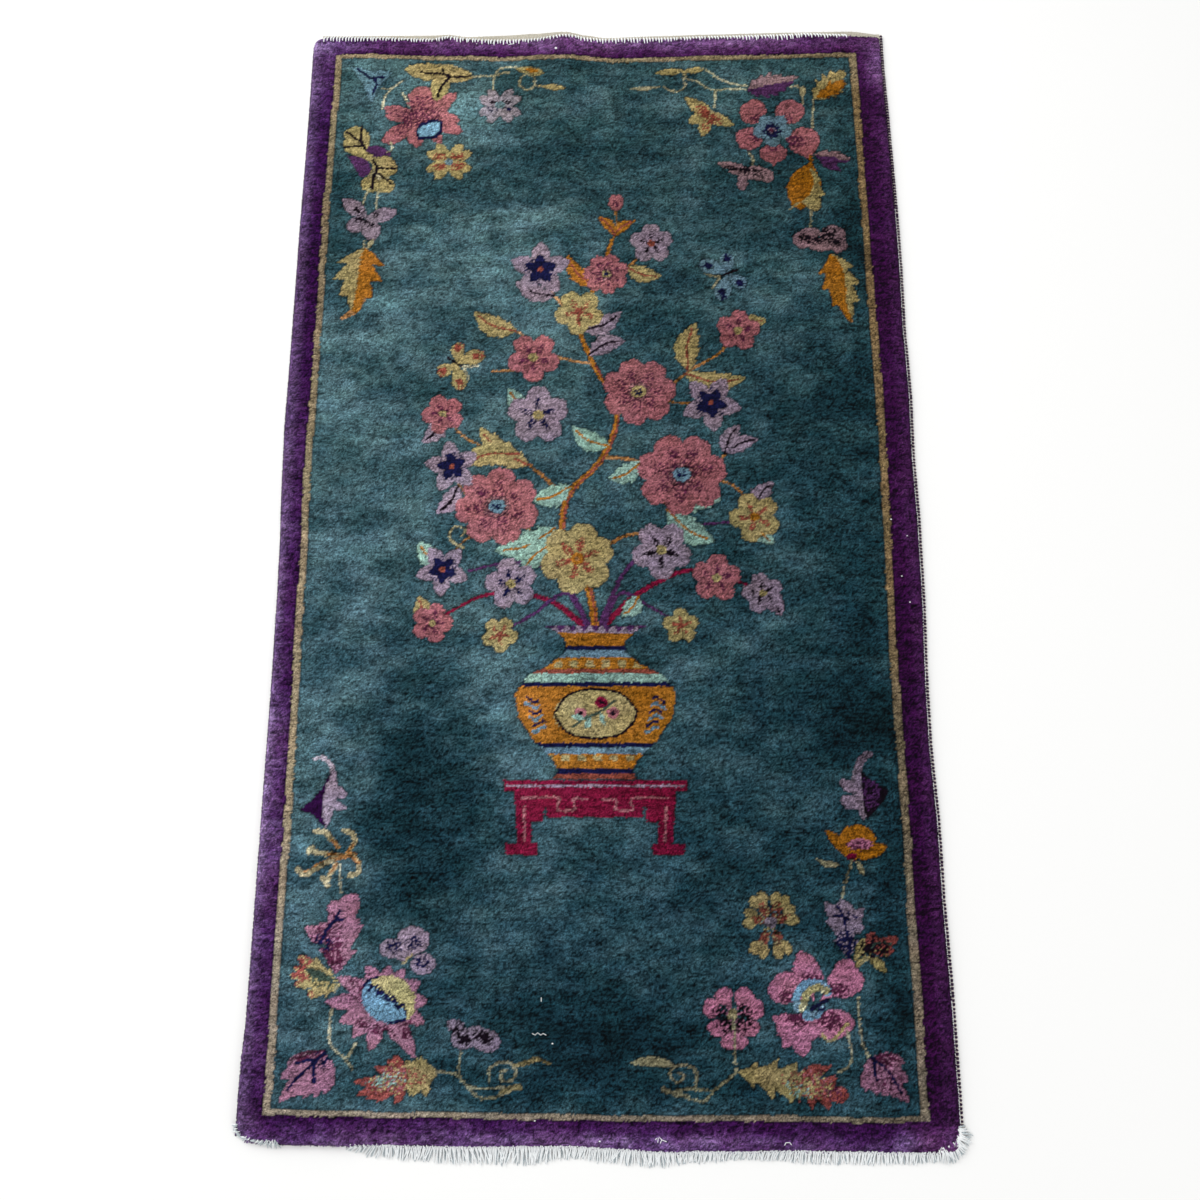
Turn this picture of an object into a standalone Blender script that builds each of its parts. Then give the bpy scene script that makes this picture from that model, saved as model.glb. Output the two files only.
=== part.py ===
"""Hand-knotted wool rug, lying flat: the knotted body with its pile, the overcast cord along each
side, the woven web at each end, and the comb of cotton warp ends along the near edge.

Metres, +Z up, the rug's length along Y with its fringed end towards -Y. The origin is the middle of
the bounding box, on the surface that the rug lies on."""

import math

import bmesh
import bpy
from mathutils import Vector

MM = 0.001

# Driving dimensions
PILE_WIDTH = 0.900
PILE_LENGTH = 1.600
BODY_THICKNESS = 0.012      # about 3 mm of foundation and 9 mm of clipped pile
PILE_ROUNDING = 0.004       # the clipped pile falls away over its last knots
WEB_THICKNESS = 0.0025
NEAR_WEB_WIDTH = 0.003
FRINGE_THICKNESS = 0.002
FRINGE_SPINE = 0.0015       # the knotted roots of the warp ends
SHORTEST_TOOTH = 0.001      # a bundle worn shorter than this is left out of the comb
FRINGE_PITCH = 0.0057       # from one bundle of warp ends to the next
ROOT_SHARE, TIP_SHARE = 0.62, 0.40    # a bundle's width over the pitch
FRINGE_LEAN = 0.16          # how far a bundle's tip wanders sideways, over its length
LEAN_TURNS = (0.85, 0.29)   # radians from one bundle to the next, so that neighbours lean alike
LEFT_CORD_RADIUS = 0.002
RIGHT_CORD_RADIUS = 0.003
GAP = 0.0003                # between neighbouring pieces
END_STEP = 0.0125           # spacing of the outline's points along an end
SIDE_STEP = 0.040           # and along a side
CORNER_POINTS = 5
CORNER_RADIUS = {"far_left": 0.014, "far_right": 0.005, "near_right": 0.015, "near_left": 0.020}
CORD_END = 0.004            # how far each cord stops short of the body's corners

# How far the edges wander from the rectangle, outwards positive, and how long the warp ends are
# beyond their knotted roots, all in millimetres
SIDE_COLUMNS = ("along", "left", "right")
SIDE_ROWS = (
    (800, -1.4, -6.0),
    (650, -1.6, -3.0),
    (450, 0.0, 0.0),
    (250, 0.4, 1.0),
    (160, 1.4, 0.8),
    (60, -0.9, 0.4),
    (-30, -4.4, -1.1),
    (-110, -5.7, -1.5),
    (-230, -6.2, -3.0),
    (-350, -5.7, -3.1),
    (-500, -5.1, -1.0),
    (-650, -4.5, 0.3),
    (-720, -1.4, 0.3),
    (-800, -0.9, 0.8),
)
FAR_COLUMNS = ("across", "pile", "web")
FAR_ROWS = (
    (-450, 5.0, 16.5),
    (-350, 3.5, 16.3),
    (-262, 1.0, 16.6),
    (-238, 6.5, 18.0),
    (-207, 2.2, 13.4),
    (-150, -4.6, 15.5),
    (-103, -1.0, 18.4),
    (-52, 4.9, 22.3),
    (-14, -3.6, 14.2),
    (10, -5.6, 9.6),
    (100, -4.5, 12.7),
    (177, -1.6, 15.1),
    (311, 0.9, 17.8),
    (400, 0.2, 19.2),
    (450, -4.0, 12.5),
)
NEAR_COLUMNS = ("across", "pile", "tooth")
NEAR_ROWS = (
    (-450, 0.0, 3.5),
    (-410, -0.4, 2.6),
    (-385, -0.5, 0.0),
    (-330, -0.7, 0.0),
    (-299, -0.7, 5.0),
    (-262, -0.5, 11.0),
    (-205, 1.2, 14.2),
    (-142, 1.9, 16.0),
    (-80, 1.0, 16.4),
    (-45, 0.8, 10.6),
    (-18, 0.6, 9.0),
    (20, 0.9, 14.4),
    (76, 2.3, 17.6),
    (110, 3.2, 12.4),
    (190, 3.8, 6.6),
    (225, 2.8, 9.2),
    (293, 3.1, 12.8),
    (386, 3.7, 11.6),
    (425, 3.3, 9.6),
    (450, 2.5, 12.0),
)

COLOURS = {
    "wool_pile": (0.045, 0.110, 0.115, 1.0),
    "cotton_web": (0.430, 0.390, 0.300, 1.0),
    "cotton_fringe": (0.640, 0.690, 0.700, 1.0),
    "overcast_wool": (0.055, 0.020, 0.060, 1.0),
}
ROUGHNESS = {"wool_pile": 0.95, "cotton_web": 0.9, "cotton_fringe": 0.85, "overcast_wool": 0.9}


def clear_scene():
    for obj in list(bpy.data.objects):
        bpy.data.objects.remove(obj, do_unlink=True)


def material(name):
    made = bpy.data.materials.new(name)
    made.use_nodes = True
    shader = made.node_tree.nodes["Principled BSDF"]
    shader.inputs["Base Color"].default_value = COLOURS[name]
    shader.inputs["Roughness"].default_value = ROUGHNESS[name]
    shader.inputs["Metallic"].default_value = 0.0
    return made


def read_table(columns, rows, column, station):
    """The column's value at a station given in metres, in metres, eased from row to row."""
    rows = sorted(rows)
    where, value = 0, columns.index(column)
    station = min(max(station / MM, rows[0][where]), rows[-1][where])
    for low, high in zip(rows, rows[1:]):
        if station <= high[where]:
            share = (station - low[where]) / (high[where] - low[where])
            eased = share * share * (3 - 2 * share)
            return (low[value] + (high[value] - low[value]) * eased) * MM
    return rows[-1][value] * MM


def side_x(y, side):
    reach = PILE_WIDTH / 2 + read_table(SIDE_COLUMNS, SIDE_ROWS, side, y)
    return reach if side == "right" else -reach


def far_y(x, column):
    return PILE_LENGTH / 2 + read_table(FAR_COLUMNS, FAR_ROWS, column, x)


def near_y(x, column):
    return -PILE_LENGTH / 2 - read_table(NEAR_COLUMNS, NEAR_ROWS, column, x)


def spread(start, end, step):
    """Evenly spaced values from start to end, both included."""
    count = max(1, round(abs(end - start) / step))
    return [start + (end - start) * i / count for i in range(count + 1)]


def corner_arc(name):
    """The points of a rounded corner, anticlockwise round the body."""
    radius = CORNER_RADIUS[name]
    end, side = name.split("_")
    right, far = side == "right", end == "far"
    x = side_x(PILE_LENGTH / 2 if far else -PILE_LENGTH / 2, side)
    y = far_y(x, "pile") if far else near_y(x, "pile")
    middle = Vector((x - radius if right else x + radius, y - radius if far else y + radius))
    quarter = {"near_left": 2, "near_right": 3, "far_right": 0, "far_left": 1}[name]
    turns = [math.radians(90 * (quarter + i / CORNER_POINTS)) for i in range(CORNER_POINTS + 1)]
    return [middle + radius * Vector((math.cos(turn), math.sin(turn))) for turn in turns]


def inner(values):
    return values[1:-1]


def body_edges():
    """The body's outline as its four corners and the four edges between them, anticlockwise."""
    near_left, near_right = corner_arc("near_left"), corner_arc("near_right")
    far_right, far_left = corner_arc("far_right"), corner_arc("far_left")
    near = [Vector((x, near_y(x, "pile")))
            for x in inner(spread(near_left[-1].x, near_right[0].x, END_STEP))]
    right = [Vector((side_x(y, "right"), y))
             for y in inner(spread(near_right[-1].y, far_right[0].y, SIDE_STEP))]
    far = [Vector((x, far_y(x, "pile")))
           for x in inner(spread(far_right[-1].x, far_left[0].x, END_STEP))]
    left = [Vector((side_x(y, "left"), y))
            for y in inner(spread(far_left[-1].y, near_left[0].y, SIDE_STEP))]
    return {"near_left": near_left, "near": near, "near_right": near_right, "right": right,
            "far_right": far_right, "far": far, "far_left": far_left, "left": left}


def pushed_out(path, distance):
    """An anticlockwise path moved outwards, to the right of its direction."""
    moved = []
    for i, point in enumerate(path):
        before, after = path[max(i - 1, 0)], path[min(i + 1, len(path) - 1)]
        run = (after - before).normalized()
        moved.append(point + distance * Vector((run.y, -run.x)))
    return moved


def flat_curve(name, outline, thickness, slot):
    """A flat piece of the given outline, lying on the surface."""
    data = bpy.data.curves.new(name, "CURVE")
    data.dimensions = "2D"
    data.fill_mode = "BOTH"
    data.extrude = thickness / 2
    spline = data.splines.new("POLY")
    spline.points.add(len(outline) - 1)
    for point, place in zip(spline.points, outline):
        point.co = (place.x, place.y, 0, 1)
    spline.use_cyclic_u = True
    data.materials.append(material(slot))
    piece = bpy.data.objects.new(name, data)
    piece.location.z = thickness / 2
    parts.objects.link(piece)
    return piece


def as_mesh(piece):
    """The curve object made a mesh object, with its caps welded to its sides."""
    bpy.context.view_layer.update()
    graph = bpy.context.evaluated_depsgraph_get()
    mesh = bpy.data.meshes.new_from_object(piece.evaluated_get(graph))
    welded = bmesh.new()
    welded.from_mesh(mesh)
    bmesh.ops.remove_doubles(welded, verts=welded.verts, dist=GAP / 100)
    bmesh.ops.dissolve_limit(
        welded, angle_limit=math.radians(0.1), verts=welded.verts, edges=welded.edges
    )
    welded.to_mesh(mesh)
    welded.free()
    name = piece.name
    made = bpy.data.objects.new(name + "_mesh", mesh)
    made.matrix_world = piece.matrix_world
    parts.objects.link(made)
    bpy.data.objects.remove(piece)
    made.name = name
    return made


def knotted_body(edges):
    """The body of the rug, one slab whose top edge is rounded where the pile falls away."""
    outline = [point for name in ("near_left", "near", "near_right", "right",
                                  "far_right", "far", "far_left", "left") for point in edges[name]]
    body = as_mesh(flat_curve("rug_body", outline, BODY_THICKNESS, "wool_pile"))
    mesh = body.data
    weights = mesh.attributes.new("bevel_weight_edge", "FLOAT", "EDGE")
    for edge in mesh.edges:
        ends = [mesh.vertices[i].co.z for i in edge.vertices]
        weights.data[edge.index].value = 1.0 if min(ends) > 0 else 0.0
    rounding = body.modifiers.new("pile_rounding", "BEVEL")
    rounding.limit_method = "WEIGHT"
    rounding.width = PILE_ROUNDING
    rounding.segments = 2
    return body


def side_cord(side, edges, radius):
    """The cord that the side warps are overcast into, just outside the knotted body."""
    start, end = {"right": ("near_right", "far_right"), "left": ("far_left", "near_left")}[side]
    first, last = edges[start][-1], edges[end][0]
    run = (last - first).normalized() * CORD_END
    path = pushed_out([first + run, *edges[side], last - run], radius + GAP)
    data = bpy.data.curves.new("selvage_" + side, "CURVE")
    data.dimensions = "3D"
    data.bevel_depth = radius
    data.bevel_resolution = 2
    data.use_fill_caps = True
    spline = data.splines.new("POLY")
    spline.points.add(len(path) - 1)
    for point, place in zip(spline.points, path):
        point.co = (place.x, place.y, radius, 1)
    data.materials.append(material("overcast_wool"))
    cord = bpy.data.objects.new("selvage_" + side, data)
    parts.objects.link(cord)
    return cord


def far_web(edges):
    """The woven strip beyond the pile at the far end, its outer edge drawn in unevenly."""
    inside = pushed_out([edges["far_right"][-1], *edges["far"], edges["far_left"][0]], GAP)
    outside = [Vector((point.x, far_y(point.x, "web"))) for point in inside]
    return flat_curve("web_far", inside + outside[::-1], WEB_THICKNESS, "cotton_web")


def near_path(edges):
    return edges["near_left"] + edges["near"] + edges["near_right"]


def near_web(edges):
    """The narrow woven strip that shows below the pile at the near end, round both corners."""
    path = near_path(edges)
    inside, outside = pushed_out(path, GAP), pushed_out(path, GAP + NEAR_WEB_WIDTH)
    return flat_curve("web_near", inside + outside[::-1], WEB_THICKNESS, "cotton_web")


def along(path, distance):
    """The point at a distance along the path, and the direction there."""
    for a, b in zip(path, path[1:]):
        step = (b - a).length
        if distance <= step:
            return a.lerp(b, distance / step), (b - a).normalized()
        distance -= step
    return path[-1], (path[-1] - path[-2]).normalized()


def near_fringe(edges):
    """The cut warp ends as one comb: a thin spine with a tooth for each bundle."""
    root = GAP + NEAR_WEB_WIDTH + GAP
    inside = pushed_out(near_path(edges), root)
    spine = pushed_out(near_path(edges), root + FRINGE_SPINE)
    length = sum((b - a).length for a, b in zip(spine, spine[1:]))
    count = int(length / FRINGE_PITCH)
    pitch = length / count
    teeth = []
    half_root, half_tip = pitch * ROOT_SHARE / 2, pitch * TIP_SHARE / 2
    for i in range(count):
        centre, run = along(spine, (i + 0.5) * pitch)
        tooth = read_table(NEAR_COLUMNS, NEAR_ROWS, "tooth", centre.x)
        if tooth < SHORTEST_TOOTH:
            teeth.append(centre)
            continue
        lean = FRINGE_LEAN * tooth * math.sin(LEAN_TURNS[0] * i) * math.cos(LEAN_TURNS[1] * i)
        tip = centre + Vector((run.y, -run.x)) * tooth + run * lean
        teeth += [centre - run * half_root, tip - run * half_tip,
                  tip + run * half_tip, centre + run * half_root]
    outline = inside[::-1] + [spine[0]] + teeth + [spine[-1]]
    return flat_curve("fringe_near", outline, FRINGE_THICKNESS, "cotton_fringe")


def centre_on_origin(pieces):
    """Moves the pieces together, so that the origin is below the middle of their bounding box."""
    bpy.context.view_layer.update()
    graph = bpy.context.evaluated_depsgraph_get()
    corners = [obj.matrix_world @ Vector(corner)
               for obj in pieces for corner in obj.evaluated_get(graph).bound_box]
    for axis in (0, 1):
        low = min(corner[axis] for corner in corners)
        high = max(corner[axis] for corner in corners)
        for piece in pieces:
            piece.location[axis] -= (low + high) / 2


clear_scene()
parts = bpy.data.collections.new("hand_knotted_rug")
bpy.context.scene.collection.children.link(parts)
rug_edges = body_edges()
centre_on_origin([
    knotted_body(rug_edges),
    side_cord("left", rug_edges, LEFT_CORD_RADIUS),
    side_cord("right", rug_edges, RIGHT_CORD_RADIUS),
    far_web(rug_edges),
    near_web(rug_edges),
    near_fringe(rug_edges),
])
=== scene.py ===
"""The looks of a hand-knotted Chinese wool rug: its knotted pile with border, guard stripe, four
corner sprays and a vase of flowers, the overcast sides, the woven web at the far end and the worn
cotton fringe at the near end. The chart is drawn in millimetres from the middle of the pile."""

import math

import bpy
import numpy as np
from mathutils import Matrix, Vector


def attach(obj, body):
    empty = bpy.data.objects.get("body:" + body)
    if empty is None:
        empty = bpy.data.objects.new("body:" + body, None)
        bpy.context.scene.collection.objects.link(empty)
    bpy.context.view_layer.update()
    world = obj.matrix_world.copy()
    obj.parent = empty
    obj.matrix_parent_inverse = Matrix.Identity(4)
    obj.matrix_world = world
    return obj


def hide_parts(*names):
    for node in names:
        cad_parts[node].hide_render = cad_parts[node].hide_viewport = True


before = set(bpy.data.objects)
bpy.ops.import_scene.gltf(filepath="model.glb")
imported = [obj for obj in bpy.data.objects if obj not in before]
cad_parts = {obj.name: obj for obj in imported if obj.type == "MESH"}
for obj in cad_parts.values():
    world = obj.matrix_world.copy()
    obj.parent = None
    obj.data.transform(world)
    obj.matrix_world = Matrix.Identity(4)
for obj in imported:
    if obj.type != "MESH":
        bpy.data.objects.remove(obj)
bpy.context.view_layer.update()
bpy.ops.object.select_all(action="DESELECT")

MM = 0.001
CHART_ORIGIN = (-0.0050, 0.0015)  # where the chart's middle lies in the frame, in metres
PILE_WIDTH = 900.0
PILE_LENGTH = 1600.0
CHART_SEED, LAY_SEED = 1928, 77
random = np.random.default_rng(CHART_SEED)

# The camera stands over the near end, almost straight above, a little turned and tilted.
CAMERA_AT = (0.0205 + CHART_ORIGIN[0], -0.3975 + CHART_ORIGIN[1], 1.3661)
CAMERA_AZIMUTH = -2.834
CAMERA_DOWN = 77.832
CAMERA_ROLL = -2.786
LENS_MM = 30.0
SENSOR_MM = 36.0

# Heights over the floor, in millimetres
FOUNDATION_TOP = 2.6
PILE_FOOT = 2.8
PILE_EDGE_TOP = 5.0
PILE_TOP = 11.0
PILE_FALL = 7.0  # how far in from its edge the pile reaches its full height
CARVING = 0.8  # the pile is clipped this much lower along each outline of the drawing
FOUNDATION_INSET = 0.6  # the foundation stops this far inside the pile
WEB_THICKNESS = 1.1
CORNER_ROOM = 25  # the lines of the four edges leave out this much at the corners
THINNEST = 3.2  # the thinnest line that the knots can draw

# One column of tufts is half a knot wide, and one row of the chart half a knot high.
COLUMN_PITCH = 2.25
ROW_PITCH = 1.95
EDGE_STEPS = (0.0, 0.7, 1.5, 2.5, 3.7, 5.2, 7.1)
PILE_PIECES = 4
CORNER_RADII = {"far_left": 14.0, "far_right": 5.0, "near_right": 15.0, "near_left": 22.0}

# How far the splayed pile stands out past the foundation: the place along the edge, and by how much
RIGHT_SPLAY = (
    (-800, 5.0), (-740, 5.4), (-600, 4.8), (-500, 3.2), (-400, 4.8), (-300, 1.6), (-200, 2.2),
    (-100, 4.0), (0, 4.0), (100, 0.8), (200, 2.4), (300, 0.0), (400, 1.7), (600, 1.3), (700, 0.0),
)
FAR_SPLAY = (
    (-450, 1.0), (-390, 2.5), (-310, 1.0), (-190, 0.5), (-150, 4.5), (-110, 2.0), (-70, 3.8),
    (-30, 5.8), (10, 5.2), (50, 6.3), (130, 5.2), (290, 5.0), (330, 6.8), (410, 4.2), (450, 3.0),
)
NEAR_SPLAY = (
    (-450, -3.0), (-415, -0.8), (-380, 1.0), (-310, 2.4), (-230, 1.0), (-30, 0.5), (10, 2.4),
    (50, 3.7), (90, 5.0), (130, 3.0), (250, 2.2), (450, 3.0),
)

# Guard stripe: y and how far out its outer line runs on the left and on the right
SIDE_STRIPE = (
    (772, -411, 405), (664, -413, 407), (516, -416, 409), (383, -416, 411), (283, -416, 413),
    (158, -417, 415), (69, -418, 415), (-19, -416, 414), (-190, -415, 412), (-298, -413, 414),
    (-430, -413, 416), (-529, -415, 415), (-629, -415, 417), (-701, -414, 416), (-764, -415, 417),
)
# x and where its outer line runs at the far and the near end
END_STRIPE = (
    (-405, 774, -765), (-364, 775, -766), (-310, 772, -767), (-258, 770, -768), (-206, 770, -767),
    (-154, 767, -768), (-128, 768, -768), (-90, 771, -769), (-41, 772, -769), (-14, 768, -769),
    (25, 763, -770), (62, 764, -770), (138, 767, -770), (231, 768, -769), (287, 769, -770),
    (331, 770, -772), (375, 771, -771), (417, 771, -768),
)
STRIPE_WIDTH = {"left": 9.4, "right": 10.2, "far": 6.9, "near": 6.4}
FIELD_HALF = (0.415, 0.768)  # half the size inside the border, in metres

# Pitches along the edges
EDGE_TUFT_PITCH = 1.5
WRAP_PITCH = 4.9
STITCH_PITCH = 4.9
WEB_WARP_PITCH = 2.45
BUNDLE_PITCH = 5.7

# The fringe round the near right corner: root x and y, direction in degrees and length
CORNER_FAN = (
    (427, -801, -84, 18.5), (436, -800, -70, 20), (443, -797.5, -57, 20),
    (448.5, -793.5, -45, 19.5), (452, -788.5, -34, 19), (453.5, -782, -25, 16),
    (454, -777, -20, 9),
)
# Where the frayed tufts of the near left corner are rooted: x and y
FRAYED_LINE = ((-451, -777), (-449, -785), (-443, -791), (-432, -795), (-415, -798.5), (-393, -800))

# What the eye finds in one millimetre: fibre clumps, knot backs, clouds of colour in a yarn
FIBRES_PER_MM = 0.8
NUBS_PER_MM = 0.29
CLOUDS_PER_MM = 0.16
LIGHTNESS = (0.21, 0.72, 0.07)  # how much red, green and blue light count to the eye

# Shares of the baked picture: its rim, the width used, the height of the top, where the walls of
# the sides and ends begin and their height, and where the underside begins and its height
MAP_RIM, MAP_WIDTH, MAP_TOP = 0.002, 0.996, 0.940
MAP_SIDES, MAP_ENDS, MAP_WALL = 0.948, 0.958, 0.008
MAP_UNDERSIDE = (0.975, 0.02)

# Dyed wools, by the colour that the eye sees under daylight
WOOLS = {
    "teal": "#204651", "purple": "#22052D", "stripe": "#7C6E57", "rose": "#844E55",
    "pink": "#845A6E", "blush": "#9A5F76", "wine": "#451B31", "lilac": "#786979",
    "ochre": "#88550D", "sand": "#87794F", "stem": "#827C60", "mint": "#6F8E84", "sky": "#4F6A7A",
    "navy": "#0E1032", "plum": "#110812", "crimson": "#660A2A", "violet": "#41224A",
    "rust": "#74382C", "brick": "#7A3B36", "moss": "#2F3E36", "grey": "#5C757E",
    "mauve": "#7C6169", "steel": "#4C6B7B", "pearl": "#7A737F", "azure": "#5B8099",
    "cream": "#988F61",
}


def shade(hex_colour):
    """the linear colour of an sRGB hex value"""
    parts = [int(hex_colour[i:i + 2], 16) / 255 for i in (1, 3, 5)]
    return [p / 12.92 if p <= 0.04045 else ((p + 0.055) / 1.055) ** 2.4 for p in parts]


def add_node(material, kind, inputs=None, **settings):
    """a node of this kind, with its settings and what is put or linked into its inputs"""
    node = material.node_tree.nodes.new(kind)
    for name, value in settings.items():
        setattr(node, name, value)
    for name, value in (inputs or {}).items():
        if isinstance(value, bpy.types.NodeSocket):
            material.node_tree.links.new(value, node.inputs[name])
        else:
            node.inputs[name].default_value = value
    return node


# --- places: the chart's millimetres and the frame's metres ---------------------------------------

def vertices_of(mesh):
    """a mesh's vertices in metres, one row each"""
    place = np.zeros(len(mesh.vertices) * 3, np.float32)
    mesh.vertices.foreach_get("co", place)
    return place.reshape(-1, 3)


def in_chart(place):
    """rows of metres in the frame as rows of the chart's millimetres"""
    return place / MM - [CHART_ORIGIN[0] / MM, CHART_ORIGIN[1] / MM, 0]


def in_frame(x, y, height):
    """the chart's millimetres as rows of metres in the frame"""
    place = np.broadcast_arrays(x * MM + CHART_ORIGIN[0], y * MM + CHART_ORIGIN[1], height * MM)
    return np.stack(place, axis=-1).reshape(-1, 3).astype(np.float32)


def turned(x, y, degrees):
    """distances across and along, measured on axes that are turned by so many degrees"""
    c, s = math.cos(math.radians(degrees)), math.sin(math.radians(degrees))
    return x * c + y * s, y * c - x * s


def around(at, reach, degrees, flat=1.0):
    """the point this far from another in this direction; flat squashes it along y"""
    angle = math.radians(degrees)
    return at[0] + reach * math.cos(angle), at[1] + flat * reach * math.sin(angle)


def bearing(start, stop):
    """the direction from one point to another, in degrees"""
    return math.degrees(math.atan2(stop[1] - start[1], stop[0] - start[0]))


def smooth(t):
    """an even rise from 0 to 1"""
    t = np.clip(t, 0, 1)
    return t * t * (3 - 2 * t)


# --- the outline, read from the CAD body --------------------------------------------------------

def chart_points(node):
    """the vertices of a CAD node in the chart's millimetres"""
    return in_chart(vertices_of(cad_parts[node].data).astype(float))


def line_through(points, along):
    """a function that reads the line through these points, at a place along axis 0 or 1"""
    points = points[np.argsort(points[:, along])]
    return lambda at: np.interp(at, points[:, along], points[:, 1 - along])


def splayed(line, splay, way):
    """the same line, moved outward by the splay of the pile"""
    places, amounts = np.array(splay, float).T
    return lambda at: line(at) + way * np.interp(at, places, amounts)


ring = chart_points("rug_body")
ring = np.unique(np.round(ring[ring[:, 2] < 0.2][:, :2], 2), axis=0)
on_sides = ring[np.abs(ring[:, 1]) < PILE_LENGTH / 2 - CORNER_ROOM]
on_ends = ring[np.abs(ring[:, 0]) < PILE_WIDTH / 2 - CORNER_ROOM]
left_edge = line_through(on_sides[on_sides[:, 0] < 0], 1)
right_edge = splayed(line_through(on_sides[on_sides[:, 0] > 0], 1), RIGHT_SPLAY, 1)
near_edge = splayed(line_through(on_ends[on_ends[:, 1] < 0], 0), NEAR_SPLAY, -1)
far_edge = splayed(line_through(on_ends[on_ends[:, 1] > 0], 0), FAR_SPLAY, 1)


def stations(length, pitch):
    """the places of the rows or columns of tufts, closer together at the two edges"""
    first = EDGE_STEPS[-1]
    inner = np.linspace(first, length - first, round((length - 2 * first) / pitch) + 1)
    edge = np.array(EDGE_STEPS[:-1])
    return np.concatenate([edge, inner, length - edge[::-1]])


COLUMNS = stations(PILE_WIDTH, COLUMN_PITCH)
ROWS = stations(PILE_LENGTH, ROW_PITCH)
across, along = np.meshgrid(COLUMNS, ROWS)
edge_distance = np.minimum(np.minimum(across, PILE_WIDTH - across),
                           np.minimum(along, PILE_LENGTH - along))
for corner, radius in CORNER_RADII.items():
    end, side = corner.split("_")
    in_from_side = across if side == "left" else PILE_WIDTH - across
    in_from_end = along if end == "near" else PILE_LENGTH - along
    inside = (in_from_side < radius) & (in_from_end < radius)
    a = 1 - in_from_side[inside] / radius
    b = 1 - in_from_end[inside] / radius
    round_a = a * np.sqrt(1 - b * b / 2)
    round_b = b * np.sqrt(1 - a * a / 2)
    new_side, new_end = radius * (1 - round_a), radius * (1 - round_b)
    across[inside] = new_side if side == "left" else PILE_WIDTH - new_side
    along[inside] = new_end if end == "near" else PILE_LENGTH - new_end
    edge_distance[inside] = radius * (1 - np.hypot(round_a, round_b))

# The place of every tuft, in rows from the near end and columns from the left
knot_y = along - PILE_LENGTH / 2
knot_x = left_edge(knot_y) + (right_edge(knot_y) - left_edge(knot_y)) * across / PILE_WIDTH
knot_y = near_edge(knot_x) + (far_edge(knot_x) - near_edge(knot_x)) * along / PILE_LENGTH
column_x = np.median(knot_x, axis=0)
row_y = np.median(knot_y, axis=1)


def drift(cell_across, cell_along, x=knot_x, y=knot_y):
    """soft random drift between -1 and 1, on cells of this many millimetres"""
    i = (x - x.min()) / cell_across
    j = (y - y.min()) / cell_along
    lattice = random.uniform(-1, 1, (int(j.max()) + 2, int(i.max()) + 2))
    left, low = i.astype(int), j.astype(int)
    s, t = smooth(i - left), smooth(j - low)
    lower = lattice[low, left] * (1 - s) + lattice[low, left + 1] * s
    upper = lattice[low + 1, left] * (1 - s) + lattice[low + 1, left + 1] * s
    return lower * (1 - t) + upper * t


# --- the chart: which wool each tuft is ---------------------------------------------------------

# Each tuft leans a little, so it shows the wool of the chart a little to one side.
look_x = knot_x + random.normal(0, 0.4, knot_x.shape) + 0.6 * drift(8, 6)
look_y = knot_y + random.normal(0, 0.3, knot_x.shape) + 0.5 * drift(10, 6)
WOOL_NAMES = list(WOOLS)
GROUND, BORDER, STRIPE = 0, 1, 2  # the first three motifs; each one drawn later has its own number
LEAF_SHAPE = (0.42, 1.0, 0, 0.3, 0.0)  # widest at, bluntness, teeth, their depth, bend
wool = np.zeros(knot_x.shape, np.int8)
motif = np.zeros(knot_x.shape, np.int16)
last_motif = STRIPE


def area(points, margin=14):
    """the rows and columns of the chart around these points"""
    points = np.asarray(points, float)
    low, high = points.min(axis=0) - margin, points.max(axis=0) + margin
    rows = slice(np.searchsorted(row_y, low[1]), np.searchsorted(row_y, high[1]))
    columns = slice(np.searchsorted(column_x, low[0]), np.searchsorted(column_x, high[0]))
    return rows, columns


def tie(place, where, yarn, carve=True):
    """knots this wool where the mask says, as a motif of its own if it is to be carved round"""
    global last_motif
    wool[place][where] = WOOL_NAMES.index(yarn)
    if carve:
        last_motif += 1
        motif[place][where] = last_motif


def curve_through(points, steps=8):
    """a smooth line through given points"""
    p = np.asarray(points, float)
    p = np.vstack([2 * p[0] - p[1], p, 2 * p[-1] - p[-2]])
    t = np.linspace(0, 1, steps, endpoint=False)[:, None]
    parts = [
        0.5 * (2 * b + (c - a) * t + (2 * a - 5 * b + 4 * c - d) * t ** 2
               + (3 * b - a - 3 * c + d) * t ** 3)
        for a, b, c, d in zip(p, p[1:], p[2:], p[3:])
    ]
    return np.vstack(parts + [p[-2:-1]])


def line_reach(place, points):
    """how far each knot is from a line of points, and how far along the line, from 0 to 1"""
    x, y = look_x[place], look_y[place]
    best = np.full(x.shape, np.inf)
    share = np.zeros(x.shape)
    count = len(points) - 1
    for i, (start, stop) in enumerate(zip(points, points[1:])):
        step = stop - start
        t = ((x - start[0]) * step[0] + (y - start[1]) * step[1]) / max(step @ step, 1e-9)
        t = np.clip(t, 0, 1)
        gap = np.hypot(x - start[0] - t * step[0], y - start[1] - t * step[1])
        nearer = gap < best
        best = np.where(nearer, gap, best)
        share = np.where(nearer, (i + t) / count, share)
    return best, share


def stem(points, width=THINNEST, yarn="stem", end_width=None, swell=0.0, carve=False):
    """a stem, vein or tendril: it may taper to its end or swell in its middle"""
    line = curve_through(points)
    place = area(line)
    gap, share = line_reach(place, line)
    end_width = width if end_width is None else end_width
    reach = width + (end_width - width) * share + swell * np.sin(np.pi * share) ** 2
    tie(place, gap < np.maximum(reach, THINNEST) / 2, yarn, carve)


def stems(lines, *settings, **named):
    """several stems alike"""
    for points in lines:
        stem(points, *settings, **named)


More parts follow.
